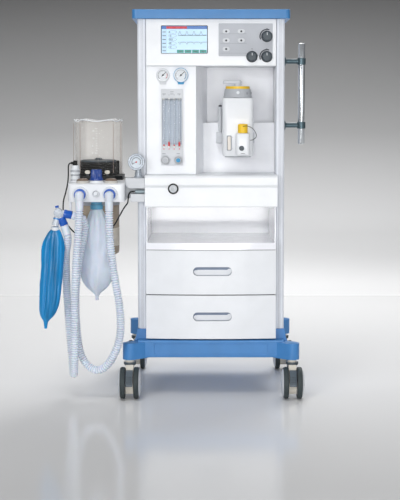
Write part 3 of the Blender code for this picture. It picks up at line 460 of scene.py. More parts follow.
def camera_and_lights():
    camera = linked("camera", bpy.data.cameras.new("camera"))
    camera.location = (0.048, -4.854, 1.06)
    camera.rotation_euler = (math.radians(90 - 3.8), 0.0, 0.0)
    camera.data.lens = 93.7
    camera.data.shift_x = -0.002
    camera.data.shift_y = -0.1252
    bpy.context.scene.camera = camera
    lamps = (("key", (-2.3, -5.0, 1.9), 1.1, 66), ("front", (0.2, -5.9, 0.75), 1.6, 86),
            ("fill", (2.8, -3.6, 1.3), 2.4, 24), ("top", (-0.6, -1.6, 3.8), 1.6, 30),
            ("back", (0.8, 2.3, 2.6), 2.0, 60), ("wash", (0.0, 4.4, 4.6), 3.0, 88))
    for name, spot, size, power in lamps:
        lamp = bpy.data.lights.new(name, "AREA")
        lamp.size = size
        lamp.energy = power
        obj = linked(name, lamp)
        obj.location = spot
        aim = Vector((0.0, 5.6, 0.6) if name == "wash" else (0.0, 0.0, 0.7)) - Vector(spot)
        obj.rotation_euler = aim.to_track_quat("-Z", "Y").to_euler()
    world = bpy.data.worlds.new("studio")
    world.use_nodes = True
    tree = world.node_tree
    coords = tree.nodes.new("ShaderNodeTexCoord")
    split = tree.nodes.new("ShaderNodeSeparateXYZ")
    stops = ((0.0, 0.52), (0.04, 0.44), (0.09, 0.36), (0.3, 0.6), (1.0, 0.9))
    sky = grey_ramp(tree, stops, (1.0, 1.01, 1.03))
    tree.links.new(coords.outputs["Generated"], split.inputs["Vector"])
    tree.links.new(split.outputs["Z"], sky.inputs["Fac"])
    tree.links.new(sky.outputs["Color"], tree.nodes["Background"].inputs["Color"])
    tree.nodes["Background"].inputs["Strength"].default_value = 0.48
    bpy.context.scene.view_settings.view_transform = "Standard"
    bpy.context.scene.world = world
    backdrop()


def faded(name, rough):
    """The backdrop's white with painted shade, darker up the wall and towards the camera."""
    mat = surface(name, (0.8, 0.8, 0.81), rough, vary=0.0, bump=0.0, smear=0.01, Specular_IOR_Level=0.3)
    tree = mat.node_tree
    coords = tree.nodes.new("ShaderNodeTexCoord")
    split = tree.nodes.new("ShaderNodeSeparateXYZ")
    tree.links.new(coords.outputs["Object"], split.inputs["Vector"])
    both = tree.nodes.new("ShaderNodeMix")
    both.data_type = "RGBA"
    both.blend_type = "MULTIPLY"
    both.inputs["Factor"].default_value = 1.0
    for socket, axis, low, high, levels in (("A", "Z", 0.0, 3.0, ((0.0, 1.0), (0.1, 0.8), (0.26, 0.5),
            (0.66, 0.15))), ("B", "Y", -3.0, 6.0, ((0.0, 0.44), (0.184, 0.66), (0.332, 0.97), (0.576, 1.0),
            (0.58, 0.79), (0.8, 1.0)))):
        span = tree.nodes.new("ShaderNodeMapRange")
        span.inputs["From Min"].default_value = low
        span.inputs["From Max"].default_value = high
        tree.links.new(split.outputs[axis], span.inputs["Value"])
        ramp = grey_ramp(tree, levels)
        tree.links.new(span.outputs["Result"], ramp.inputs["Fac"])
        tree.links.new(ramp.outputs["Color"], both.inputs[socket])
    tree.links.new(both.outputs["Result"], tree.nodes["Principled BSDF"].inputs["Base Color"])
    return mat


def backdrop():
    """A plain floor that curves up into a wall, with painted shade greying it up the wall and towards the
    camera.
    """
    reach, radius, wall, sheen_end = 9.0, 1.2, 6.9, 2.2
    outline = [(-reach, -0.0005), (sheen_end, -0.0005), (wall - radius, -0.0005)]
    for step in range(1, 17):
        a = math.pi / 2 * step / 16
        outline.append((wall - radius + radius * math.sin(a), radius - radius * math.cos(a)))
    outline += [(wall, 5.0), (wall + 0.05, 5.0), (wall + 0.05, -0.05), (-reach, -0.05)]
    mesh = prism(outline, -reach, reach, "X")
    mesh.materials.append(faded("studio_floor", 0.13))
    mesh.materials.append(faded("studio_wall", 0.85))
    for face in mesh.polygons:
        if face.center.z > 0.001 or face.center.y > sheen_end:
            face.material_index = 1
    mesh.shade_smooth()
    mesh.set_sharp_from_angle(angle=math.radians(30))
    stage = linked("studio_floor", mesh)


# ---------------------------------------------------------------- cords

LEFT_HOSE = [(-0.463, -0.3365, 0.7115), (-0.463, -0.3365, 0.6915), (-0.463, -0.3365, 0.6715),
        (-0.464, -0.3365, 0.645), (-0.4685, -0.3365, 0.58), (-0.4755, -0.3365, 0.49),
        (-0.4795, -0.3365, 0.4), (-0.481, -0.3365, 0.3), (-0.482, -0.336, 0.21), (-0.4845, -0.329, 0.145),
        (-0.488, -0.306, 0.1), (-0.4935, -0.268, 0.084), (-0.4995, -0.23, 0.1), (-0.506, -0.208, 0.145),
        (-0.513, -0.201, 0.22), (-0.519, -0.205, 0.32), (-0.5215, -0.222, 0.42), (-0.5195, -0.25, 0.51),
        (-0.511, -0.28, 0.556), (-0.5091, -0.29, 0.5816), (-0.5147, -0.29, 0.6008), (-0.5202, -0.29, 0.62), ]
RIGHT_HOSE = [(-0.3584, -0.3365, 0.7115), (-0.3584, -0.3365, 0.6915), (-0.3584, -0.3365, 0.6715),
        (-0.3582, -0.3365, 0.64), (-0.3545, -0.3355, 0.555), (-0.341, -0.333, 0.445),
        (-0.3255, -0.329, 0.35), (-0.3205, -0.3245, 0.285), (-0.3255, -0.319, 0.215),
        (-0.355, -0.309, 0.142), (-0.395, -0.299, 0.104), (-0.435, -0.289, 0.113), (-0.464, -0.283, 0.155),
        (-0.477, -0.28, 0.22), (-0.4825, -0.278, 0.3), (-0.482, -0.278, 0.38), (-0.477, -0.278, 0.44),
        (-0.469, -0.2785, 0.5), (-0.459, -0.279, 0.555), (-0.4515, -0.2805, 0.588), (-0.448, -0.283, 0.612),
        (-0.4515, -0.287, 0.633), (-0.456, -0.29, 0.6434), (-0.4687, -0.29, 0.6478),
        (-0.4804, -0.29, 0.6517), (-0.4922, -0.29, 0.6557), ]
SENSOR_CABLE = [(-0.4968, -0.222, 0.838), (-0.501, -0.222, 0.838), (-0.505, -0.2222, 0.8372),
        (-0.5085, -0.2226, 0.835), (-0.5106, -0.2232, 0.831), (-0.5116, -0.224, 0.824),
        (-0.5116, -0.2252, 0.812), (-0.5118, -0.2275, 0.79), (-0.514, -0.2295, 0.765),
        (-0.521, -0.23, 0.733), (-0.53, -0.225, 0.7), (-0.531, -0.215, 0.66), (-0.519, -0.199, 0.615),
        (-0.49, -0.182, 0.58), (-0.45, -0.1745, 0.564), (-0.41, -0.1745, 0.564), (-0.375, -0.18, 0.579),
        (-0.348, -0.19, 0.615), (-0.329, -0.201, 0.648), (-0.313, -0.213, 0.676), (-0.3005, -0.226, 0.693),
        (-0.297, -0.233, 0.709), (-0.296, -0.235, 0.721), (-0.292, -0.235, 0.731), (-0.284, -0.235, 0.7358),
        (-0.2728, -0.235, 0.736), ]
LANYARD = [(0.112, -0.289, 0.97), (0.126, -0.291, 0.972), (0.145, -0.29, 0.964), (0.157, -0.286, 0.948),
        (0.159, -0.28, 0.933), (0.148, -0.274, 0.923), (0.1378, -0.27, 0.921), ]
RIB_PITCH = 0.0084
RIB_WAVE = (0.0145, 0.0143, 0.0122, 0.0108, 0.0122, 0.0143)
GROOVE = (2, 3)
CUFF, CUFF_RADIUS = 0.03, 0.0142
LEG_X, LEG_Y = 0.291, 0.262
TUBE_FOOT, TUBE_TOP = 0.894, 1.0685
DOME_CHAMFER = 0.026


def placed(points):
    return [Vector(p) + TROLLEY for p in points]


def hose(node, points):
    """A corrugated breathing hose with painted shade in its grooves and a smooth cuff at each end."""
    step = RIB_PITCH / len(RIB_WAVE)
    route, length = smooth_route(placed(points), step)
    radii = []
    for i in range(len(route)):
        from_end = min(i, len(route) - 1 - i) * step
        radii.append(CUFF_RADIUS if from_end < CUFF else RIB_WAVE[i % len(RIB_WAVE)])
    sides = 24
    mesh = sweep(route, radii, sides)
    tube = piece("corrugated_" + node, mesh, HOSE, replaces=node, angle=75)
    mesh.materials.append(GROOVE_SHADE)
    # Painted shade: the faces in the narrow grooves take the darker material.
    for face in mesh.polygons[:sides * (len(route) - 1)]:
        k = face.index // sides
        if max(radii[k], radii[k + 1]) < 0.0141 and k % len(RIB_WAVE) in GROOVE:
            face.material_index = 1
    return tube, route, length


def cords(y_mesh_piece):
    for node, points, facts in (("breathing_hose_left", LEFT_HOSE, {"far_end": "connector"}),
            ("breathing_hose_right", RIGHT_HOSE, {"far_end": "object"})):
        tube, route, length = hose(node, points)
    for node, points, radius, body in (("sensor_cable", SENSOR_CABLE, 0.0025, ROOT),
            ("filler_lanyard", LANYARD, 0.001, "vaporizer")):
        route, length = smooth_route(placed(points), radius * 1.6)
        line = piece(node + "_line", sweep(route, radius, 12), BLACK, body, node, angle=75)


def y_piece():
    """The Y-piece: two arms, a cuff for the bag, a port, and their rings."""
    low, high = corners("y_piece")
    y = (low.y + high.y) / 2
    elbow = TROLLEY + Vector((-0.5415, -0.29, 0.665))
    cuff_end = TROLLEY + Vector((-0.5524, -0.294, 0.6194))
    right_end = TROLLEY + Vector((-0.493, -0.29, 0.656))
    left_end = TROLLEY + Vector((-0.5204, -0.29, 0.6205))
    up_end = TROLLEY + Vector((-0.547, -0.29, 0.69))

    def limb(start, end, profile):
        return sweep([start.lerp(end, t) for t, _ in profile], [r for _, r in profile], 32)

    tube = [(0.0, 0.0125), (0.45, 0.0125), (0.47, 0.0132), (1.0, 0.0132)]
    hub = turned([(0.0105, -0.015), (0.015, -0.012), (0.016, 0.0), (0.015, 0.012), (0.0105, 0.015)],
            (elbow.x, 0.0, elbow.z), "Y", 48, at=y)
    body = joined(hub, limb(elbow, right_end, tube), limb(elbow, left_end, tube),
            limb(elbow, cuff_end, [(0.0, 0.0105), (0.3, 0.011), (0.32, 0.01), (0.5, 0.01), (0.52, 0.0125),
            (1.0, 0.0125)]), limb(elbow, up_end, [(0.0, 0.006), (0.7, 0.006), (0.72, 0.005), (1.0, 0.005)]))
    main = piece("y_piece_body", body, CLOUDY, replaces="y_piece")
    collars = []
    for end in (right_end, left_end):
        collars.append(sweep([elbow.lerp(end, t) for t in (0.4, 0.43, 0.6, 0.63, 0.97, 1.0)],
                [0.013, 0.0154, 0.0154, 0.0146, 0.0146, 0.0136], 32))
    collars.append(sweep([elbow.lerp(up_end, t) for t in (0.72, 0.76, 0.97, 1.0)],
            [0.006, 0.0066, 0.0066, 0.0056], 24))
    piece("y_piece_collars", joined(*collars), HOSE_BLUE)
    band = sweep([elbow.lerp(cuff_end, t) for t in (0.42, 0.44, 0.52, 0.54)], [0.0118, 0.013, 0.013, 0.0118],
            32)
    piece("y_piece_band", band, TRIM_BLUE)
    return main


# ---------------------------------------------------------------- base, casters, frame

def base():
    carry("base_frame", BLUE, 0.0025)
    for side in (-1, 1):
        for end in (-1, 1):
            name = ("rear_" if end > 0 else "front_") + ("right" if side > 0 else "left")
            wheel(name, end < 0)
            c = TROLLEY + Vector((side * LEG_X, end * LEG_Y, 0.0))
            cap = turned([(0.019, 0.1942), (0.0185, 0.1952)], c, "Z", 48)
            piece("leg_cap_" + name, cap, TRIM_BLUE)


def wheel(name, braked):
    """One twin-wheel caster: tyres, discs, fork and swivel disc."""
    node = "wheel_pair_" + name
    low, high = corners(node)
    c = (low + high) / 2
    r = (high.z - low.z) / 2
    tyres = []
    discs = []
    hubs = []
    for side in (-1, 1):
        def at(x):
            return c.x + side * x
        tyres.append(turned([(r - 0.0125, at(0.0152)), (r - 0.004, at(0.0152)), (r - 0.0012, at(0.0165)),
                (r, at(0.0195)), (r, at(0.0285)), (r - 0.0015, at(0.0318)), (r - 0.005, at(0.0335)),
                (r - 0.0125, at(0.034))], c, "X", 72, True))
        discs.append(turned([(0.005, at(0.0158)), (r - 0.0128, at(0.0158)), (r - 0.0128, at(0.033)),
                (r - 0.007, at(0.0334)), (r - 0.0085, at(0.0352)), (r - 0.013, at(0.0372)),
                (r - 0.021, at(0.0394)), (r - 0.032, at(0.0408)), (0.0125, at(0.0414)), (0.005, at(0.0414))],
                c, "X", 72, True))
        hubs.append(turned([(0.0118, at(0.04)), (0.0118, at(0.0415)), (0.0105, at(0.0418)),
                (0.002, at(0.0418))], c, "X", 48))
        for k in range(6):
            a = math.pi * k / 3
            spot = c + Vector((0.0, 0.027 * math.cos(a), 0.027 * math.sin(a)))
            hubs.append(turned([(0.0022, at(0.037)), (0.0022, at(0.0406)), (0.0012, at(0.0409))],
                    spot, "X", 16))
    body = "wheels_" + name
    axle = turned([(0.0049, c.x - 0.016), (0.0049, c.x + 0.016)], c, "X", 32)
    piece("tyres_" + name, joined(*tyres), RUBBER, body, node)
    piece("discs_" + name, joined(*discs), LIGHT_GREY, body)
    piece("hubs_" + name, joined(axle, *hubs), GREY, body)
    carry("caster_fork_" + name, CREAM, 0.0018)
    low, high = corners("caster_fork_" + name)
    top = TROLLEY + Vector((LEG_X if "right" in name else -LEG_X, -LEG_Y if braked else LEG_Y, 0.0))
    ring = turned([(0.0216, 0.1168), (0.0222, 0.1176), (0.0222, 0.1252), (0.0216, 0.1262), (0.0196, 0.1262),
            (0.0196, 0.1168)], top, "Z", 64, True)
    piece("swivel_ring_" + name, ring, SLATE, "caster_" + name)
    if braked:
        side = name.split("_")[1]
        carry("brake_pedal_" + side, PEDAL, 0.0012)
        low, high = corners("brake_pedal_" + side)
        ribs = []
        for k in range(5):
            z = 0.06 + 0.0055 * k
            y = low.y + (z - low.z - 0.006) * 0.45 + 0.0004
            ribs.append(((low.x + 0.003, y - 0.0012, z), (high.x - 0.003, y + 0.003, z + 0.0022)))
        piece("pedal_ribs_" + side, boxes(ribs), SLATE, "pedal_" + side, bevel=0.0004)


def frame_parts():
    for node in ("left_pillar", "right_pillar"):
        carry(node, POWDER, 0.0006)
        low, high = corners(node)
        mid_x = TROLLEY.x + math.copysign(0.248, low.x - TROLLEY.x)
        # Painted shade of the pillars' grooves: three thin grey strips standing on each front face.
        lines = [((mid_x + dx - 0.0005, low.y - 0.0002, low.z + 0.001), (mid_x + dx + 0.0005, low.y + 0.001,
                high.z - 0.001)) for dx in (-0.0035, 0.0, 0.0035)]
        piece(node + "_lines", boxes(lines), GREY)
    carry("back_panel", POWDER, 0.001)
    carry("top_tray", TOP_BLUE, 0.003)
    carry("shelf_tray", INNER, 0.001)
    carry("worktop", WHITE, 0.0015)
    for node in ("drawer_upper", "drawer_lower"):
        carry(node, WHITE, 0.0014)
        pull_shadow(node)
    # Painted shade in the drawer gaps: dark strips set behind the seams, where only the gaps' shadow is.
    seams = [((-0.23, -0.23, z - 0.0022), (0.23, -0.226, z + 0.0022)) for z in (0.3645, 0.5266)]
    gap_shade = boxes([[Vector(p) + TROLLEY for p in pair] for pair in seams])
    piece("drawer_gap_painted_shade", gap_shade, INK)
    # Painted shade under the shelf lip: a dark strip along its bowed edge for the gap's shadow.
    half, front, bow, under_lip = 0.232, TROLLEY.y + -0.238, 0.012, 0.527
    line = [(TROLLEY.x + half, front + 0.006), (TROLLEY.x - half, front + 0.006)]
    line += [(TROLLEY.x + half * t / 8, front - 0.0006 - bow * (1 - (t / 8) ** 2)) for t in range(-8, 9)]
    piece("shelf_lip_painted_shade", prism(line, under_lip - 0.0014, under_lip + 0.0004, "Z"), INK)
    low, high = corners("back_panel")
    screws = []
    for x in (low.x + 0.014, high.x - 0.014):
        for k in range(6):
            z = low.z + 0.03 + (high.z - low.z - 0.06) * k / 5
            back = low.y + 0.006
            screws.append(turned([(0.0045, 0.0), (0.0045, 0.001), (0.003, 0.0022), (0.0012, 0.0022),
                    (0.001, 0.0012)], (x, 0, z), "Y", 24, at=back))
    piece("back_screws", joined(*screws), SATIN)
    pins = []
    x = TROLLEY.x - 0.16
    for dx, dz in ((-0.007, -0.002), (0.0, 0.003), (0.007, -0.002)):
        y = low.y + 0.0062
        pins.append(((x + dx - 0.001, y - 0.001, 0.31 + dz - 0.003), (x + dx + 0.001, y + 0.008, 0.31 + dz +
                0.003)))
    piece("power_pins", boxes(pins), SATIN)
    y = high.y
    liner = rounded((x - 0.0165, 0.297), (x + 0.0165, 0.323), 0.004)
    inner = rounded((x - 0.0135, 0.3), (x + 0.0135, 0.32), 0.003)
    rings = ((liner, y - 0.0004), (liner, y + 0.001), (inner, y + 0.001), (inner, y - 0.0004))
    piece("power_inlet_rim", facing(rings), BLACK)
    handle_pole()


def pull_shadow(node):
    """A painted shadow in a drawer's pull: a grey strip, wide along its top and its left end, where the
    recess's shade falls.
    """
    x, floor_y = TROLLEY.x + 0.005, TROLLEY.y - 0.232
    z = {"drawer_upper": 0.4495, "drawer_lower": 0.2857}[node]
    steps = 12
    outer = rounded((x - 0.0688, z - 0.0153), (x + 0.0688, z + 0.0153), 0.015, steps)
    inner = []
    for i, (u, v) in enumerate(outer):
        a = math.pi / 2 * (i // (steps + 1) + (i % (steps + 1)) / steps)
        # Painted shadow: the strip is widest towards the top left, away from the light.
        width = 0.0002 + 0.012 * max(0.0, 0.93 * math.sin(a) - 0.37 * math.cos(a)) ** 1.5
        inner.append((u - width * math.cos(a), v - width * math.sin(a)))
    rings = ((outer, floor_y + 0.0004), (outer, floor_y - 0.005), (inner, floor_y - 0.0012),
            (inner, floor_y + 0.0004))
    piece(node + "_pull_painted_shadow", facing(rings), PULL_SHADE, node)


def handle_pole():
    low, high = corners("handle_pole")
    x = high.x - 0.0125
    y = (low.y + high.y) / 2
    bar = turned([(0.0085, low.z), (0.0115, low.z + 0.0008), (0.0125, low.z + 0.003),
            (0.0125, high.z - 0.003), (0.0115, high.z - 0.0008), (0.0085, high.z)], (x, y, 0), "Z", 64)
    piece("pole_bar", bar, STEEL, replaces="handle_pole")
    stays = []
    for z in (0.9722, 1.2027):
        stays.append(turned([(0.015, low.x), (0.017, low.x + 0.001), (0.017, low.x + 0.004),
                (0.015, low.x + 0.005), (0.0088, low.x + 0.007), (0.0088, x - 0.01)], (0, y, z), "X", 48))
        stays.append(ring_at((x, y, 0), 0.0152, 0.0026, z - 0.012, z + 0.012))
    piece("pole_stays", joined(*stays), TEAL_GREY, bevel=0.0008)


def gas_inlets():
    low, high = corners("gas_inlets")
    carry("gas_inlets", SATIN, 0.0006)
    for k, mat in enumerate((TRIM_BLUE, WHITE, INK)):
        x = TROLLEY.x + 0.055 + 0.045 * k
        z = (low.z + high.z) / 2
        y = low.y + 0.029
        ring = turned([(0.0165, -0.0008), (0.0165, 0.003), (0.0135, 0.004), (0.0135, -0.0008)], (x, 0, z),
                "Y", 48, True, at=y)
        piece(f"gas_inlet_ring_{k + 1}", ring, mat)


# ---------------------------------------------------------------- knobs and monitor

def knob(node, mat, depth, flutes, mark=True, cap=None):
    """A control knob in place of its CAD node: fluted skirt, domed face and a pointer."""
    _, high, c, r = round_box(node)
    back = high.y - 0.009
    front = back - depth
    profile = [(0.003, back + 0.009), (0.003, back), (r, back), (r, back - 0.0022),
            (r * 0.965, back - 0.003), (r * 0.9, back - 0.0045), (r * 0.86, front + 0.0035),
            (r * 0.82, front + 0.0012), (r * 0.74, front + 0.0002), (r * 0.6, front)]
    body = node
    mesh = turned(profile, c, "Y", 96, False, flutes, r * 0.07, (5, 7))
    piece(node + "_grip", mesh, mat, body, node, angle=30)
    if cap:
        disc = turned([(r * 0.62, 0.0006), (r * 0.6, -0.0004), (r * 0.5, -0.0008)], c, "Y", 64, at=front)
        piece(node + "_cap", disc, cap, body)
    if mark:
        piece(node + "_pointer", boxes([((c.x - r * 0.05, front - 0.0006, c.z + r * 0.2),
                (c.x + r * 0.05, front + 0.001, c.z + r * 0.7))]), DIAL, body)


def stadium(x, z, half_w, half_h, y_front, y_back):
    return prism(rounded((x - half_w, z - half_h), (x + half_w, z + half_h), half_h * 0.98, 10),
            y_front, y_back, "Y")


def monitor():
    carry("monitor_housing", WHITE, 0.0012)
    carry("keypad_plate", PLATE, 0.0006)
    carry("display_screen", SLATE, 0.0)
    screen()
    low, _ = corners("keypad_plate")
    face = low.y
    keys = []
    dots = []
    for dx, dz in ((0.0269, 0.0879), (0.0269, 0.0556), (0.0269, 0.025), (0.0808, 0.0879), (0.0808, 0.0556)):
        x, z = low.x + dx, low.z + dz
        keys.append(stadium(x, z, 0.0125, 0.008, face - 0.0012, face + 0.0002))
        dots.append(turned([(0.0034, face - 0.0018), (0.0038, face - 0.0011)], (x, 0, z), "Y", 24))
    piece("keypad_keys", joined(*keys), LIGHT_GREY, bevel=0.0005)
    piece("keypad_key_dots", joined(*dots), INK)
    arcs = []
    marks = []
    for node in ("volume_knob", "rate_knob", "encoder_knob"):
        c = centre(node)
        marks.append(((c.x - 0.0016, face - 0.0004, c.z + 0.0265), (c.x + 0.0016, face + 0.0002, c.z +
                0.029)))
        if node != "encoder_knob":
            arcs.append(arc_at(c, 0.0268, 0.004, face - 0.001, face + 0.0002, 70, 205))
        arcs.append(ring_at(c, 0.0205, 0.0014, face - 0.0003, face + 0.0002, "Y"))
        knob(node, SLATE, 0.018, 18)
    piece("keypad_marks", joined(boxes(marks), *arcs), INK)
    lines = []
    for k in range(3):
        z = low.z + 0.01 + 0.0345 * k
        lines.append(((low.x + 0.006, face - 0.0003, z), (low.x + 0.1, face + 0.0002, z + 0.0008)))
    piece("keypad_lines", boxes(lines), MID_GREY)


def screen():
    """The lit picture, in thin coloured areas on the screen's face."""
    low, high = corners("display_screen")
    wide, tall = high.x - low.x, high.z - low.z

    def area(u0, v0, u1, v1, lift):
        return ((low.x + u0 * wide, low.y - 0.0001 - lift * 0.00012, low.z + v0 * tall),
                (low.x + u1 * wide, low.y + 0.0003, low.z + v1 * tall))

    piece("screen_picture", boxes([area(0.012, 0.015, 0.988, 0.985, 0)]), FIELD)
    piece("screen_top_bar", boxes([area(0.012, 0.875, 0.988, 0.985, 1)]), BAR)
    piece("screen_alarm_area", boxes([area(0.115, 0.885, 0.555, 0.972, 2)]), ALARM)
    piece("screen_left_column", boxes([area(0.012, 0.015, 0.125, 0.872, 1)]), PANEL)
    piece("screen_soft_keys", boxes([area(0.34 + 0.163 * k, 0.02, 0.34 + 0.163 * k + 0.15, 0.135, 1) for k in
            range(4)]), KEYS)
    ink = []
    face = low.y - 0.0004
    for k in range(6):
        v = 0.085 + 0.135 * k
        ink.append(area(0.03, v, 0.105, v + 0.022, 2))
        if k:
            ink += number_blocks((12, 20, 450, 15, 6)[k - 1], low.x + 0.175 * wide, low.z + (v - 0.02) *
                    tall, 0.0062, face, face + 0.0004)
    ink += [area(0.37, 0.64, 0.975, 0.655, 2), area(0.37, 0.4, 0.975, 0.408, 2)]
    for k in range(4):
        ink.append(area(0.375 + 0.163 * k, 0.07, 0.375 + 0.163 * k + 0.08, 0.088, 3))
    piece("screen_figures", boxes(ink), INK)
    loops = []
    turn = [2 * math.pi * i / 32 for i in range(32)]
    for k in range(5):
        z = low.z + (0.085 + 0.135 * (k + 1) + 0.01) * tall
        x = low.x + 0.245 * wide
        shape, hole = [[(x + w * math.cos(a), z + h * math.sin(a)) for a in turn] for w, h in ((0.015,
                0.0054), (0.0143, 0.0048))]
        loops.append(facing(((shape, face), (shape, face + 0.0003), (hole, face + 0.0003), (hole, face))))
    wave = []
    for i in range(97):
        t = i / 96
        beat = (t * 4) % 1.0
        rise = math.sin(math.pi * min(1.0, beat / 0.45)) ** 2 if beat < 0.45 else 0.0
        wave.append((low.x + (0.37 + 0.605 * t) * wide, face, low.z + (0.665 + 0.13 * rise) * tall))
    flow = [(x, y, low.z + 0.41 * tall + (z - low.z - 0.665 * tall) * (1 if i // 12 % 2 else -0.6)) for i,
            (x, y, z) in enumerate(wave)]
    piece("screen_traces", joined(sweep(wave, 0.0005, 6), sweep(flow, 0.0004, 6), *loops), SLATE)


# ---------------------------------------------------------------- gas column

def gas_column():
    carry("flow_column", WHITE, 0.0014)
    carry("flowmeter_block", LIGHT_GREY, 0.0006)
    low, _ = corners("flowmeter_block")
    face = low.y
    floor_y = face + 0.005
    z0, z1 = TUBE_FOOT, TUBE_TOP
    tubes = []
    floats = []
    scales = []
    caps = []
    dots = []
    strips = []
    for k in range(4):
        x = TROLLEY.x - 0.169 + 0.0184 * k
        y = floor_y - 0.0034
        tubes.append(turned([(0.0036, z0), (0.0046, z1), (0.0036, z1), (0.0028, z0)], (x, y, 0),
                "Z", 32, True))
        caps.append(turned([(0.0054, -0.0015), (0.0056, 0.004), (0.005, 0.0055)], (x, y, 0), "Z", 32, at=z0))
        caps.append(turned([(0.005, -0.005), (0.0056, -0.004), (0.0054, 0.0015)], (x, y, 0), "Z", 32, at=z1))
        tall = 0.014 if k % 2 else 0.004
        wide = 0.0036 if k % 2 else 0.0028
        floats.append(turned([(0.001, z0 + 0.002), (wide, z0 + 0.004), (wide, z0 + 0.004 + tall),
                (0.0012, z0 + 0.006 + tall)], (x, y - 0.0022, 0), "Z", 32))
        floats.append(turned([(0.0018, face - 0.0008), (0.0022, face + 0.0004)], (x, 0, z0 - 0.006), "Y", 24))
        strips.append(((x - 0.006, floor_y - 0.0004, z0 + 0.0095), (x + 0.0118, floor_y + 0.0002, z1 -
                0.001)))
        for n in range(19):
            z = z0 + 0.012 + n * 0.0078
            long = 0.0048 if n % 3 == 0 else 0.0028
            scales.append(((x + 0.0054, floor_y - 0.0009, z), (x + 0.0054 + long, floor_y - 0.0005, z +
                    0.0007)))
        for n in range(3):
            spot = (x - 0.002 + 0.0061 * n, 0, z1 - 0.0045)
            dots.append(turned([(0.0017, floor_y - 0.005), (0.0019, floor_y - 0.001)], spot, "Y", 20))
        dots.append(turned([(0.0014, face - 0.0006), (0.0016, face + 0.0003)], (x, 0, z1 + 0.013), "Y", 20))
    piece("flow_tubes", joined(*tubes), TUBE)
    piece("flow_tube_caps", joined(*caps), SATIN)
    piece("flow_floats", joined(*floats), RED)
    piece("flow_scale_strips", boxes(strips), FLOW_BACK)
    piece("flow_scale_marks", boxes(scales), INK)
    labels = [((TROLLEY.x + x - 0.006, face - 0.0004, z), (TROLLEY.x + x + 0.006, face + 0.0003, z + 0.0022))
            for x, z in ((-0.169, 0.87), (-0.1177, 0.87), (-0.168, 1.084), (-0.14, 1.084), (-0.115, 1.084),
            (-0.14, 1.0915))]
    piece("flow_plate_dots", joined(boxes(labels), *dots), MID_GREY)
    for node in ("flow_knob_nitrous", "flow_knob_oxygen"):
        _, _, c, r = round_box(node)
        guard = turned([(r + 0.004, 0.0), (r + 0.004, -0.005), (r + 0.003, -0.006), (r + 0.0016, -0.006),
                (r + 0.0016, 0.0)], c, "Y", 64, True, at=face)
        piece(node + "_guard", guard, LIGHT_GREY)
        knob(node, LIGHT_GREY, 0.02, 12, False, GREY if node.endswith("nitrous") else CYAN)
    for node, rim in (("gauge_nitrous", LIGHT_GREY), ("gauge_oxygen", CYAN)):
        gauge(node, rim)


def gauge(node, rim_mat):
    """A round pressure gauge: rim, face, scale, needle, glass and the tab under it."""
    low, high = corners(node)
    r = (high.x - low.x) / 2
    c = Vector(((low.x + high.x) / 2, 0.0, high.z - r))
    back, front = high.y, low.y
    rim = turned([(r, back), (r, front + 0.0025), (r - 0.001, front + 0.0006), (r - 0.0024, front),
            (r - 0.0042, front + 0.0008), (r - 0.0046, front + 0.0035), (r - 0.0046, back)], c, "Y", 96, True)
    piece(node + "_bezel", ring_at(c, r - 0.0018, 0.003, front + 0.0004, front - 0.0004, "Y"), DIAL)
    tab = prism([(c.x - 0.013, c.z - r + 0.004), (c.x - 0.0095, low.z), (c.x + 0.0095, low.z),
            (c.x + 0.013, c.z - r + 0.004)], front + 0.004, back, "Y")
    piece(node + "_rim", rim, rim_mat, replaces=node)
    piece(node + "_tab", tab, rim_mat, bevel=0.001)
    face_y = front + 0.0042
    piece(node + "_face", turned([(r - 0.004, face_y), (r - 0.004, face_y + 0.002)], c, "Y", 64), DIAL)
    marks = ticks_at(c, r - 0.0066, 0.0032, 0.0009, face_y - 0.0003, face_y + 0.0002, 225, -45, 13)
    arc = arc_at(c, r - 0.0066, 0.0007, face_y - 0.0003, face_y + 0.0002, 225, -45, 40)
    needle = ticks_at(c, r - 0.008, r - 0.008 + 0.006, 0.0019, face_y - 0.001, face_y - 0.0004, 45, 44, 2)
    hub = turned([(0.0034, 0.0), (0.0032, -0.0014), (0.001, -0.0017)], c, "Y", 32, at=face_y)
    piece(node + "_scale", joined(marks, arc, needle, hub), INK)
    zone = arc_at(c, r - 0.0078, 0.0018, face_y - 0.00025, face_y + 0.0002, 20, -45, 16)
    piece(node + "_zone", zone, RED if node.endswith("nitrous") else CYAN)
    glass = turned([(r - 0.0044, 0.0018), (r - 0.0044, 0.0008), (r * 0.5, 0.0003)], c, "Y", 64, at=front)
    piece(node + "_glass", glass, DOME)


# ---------------------------------------------------------------- vaporizer

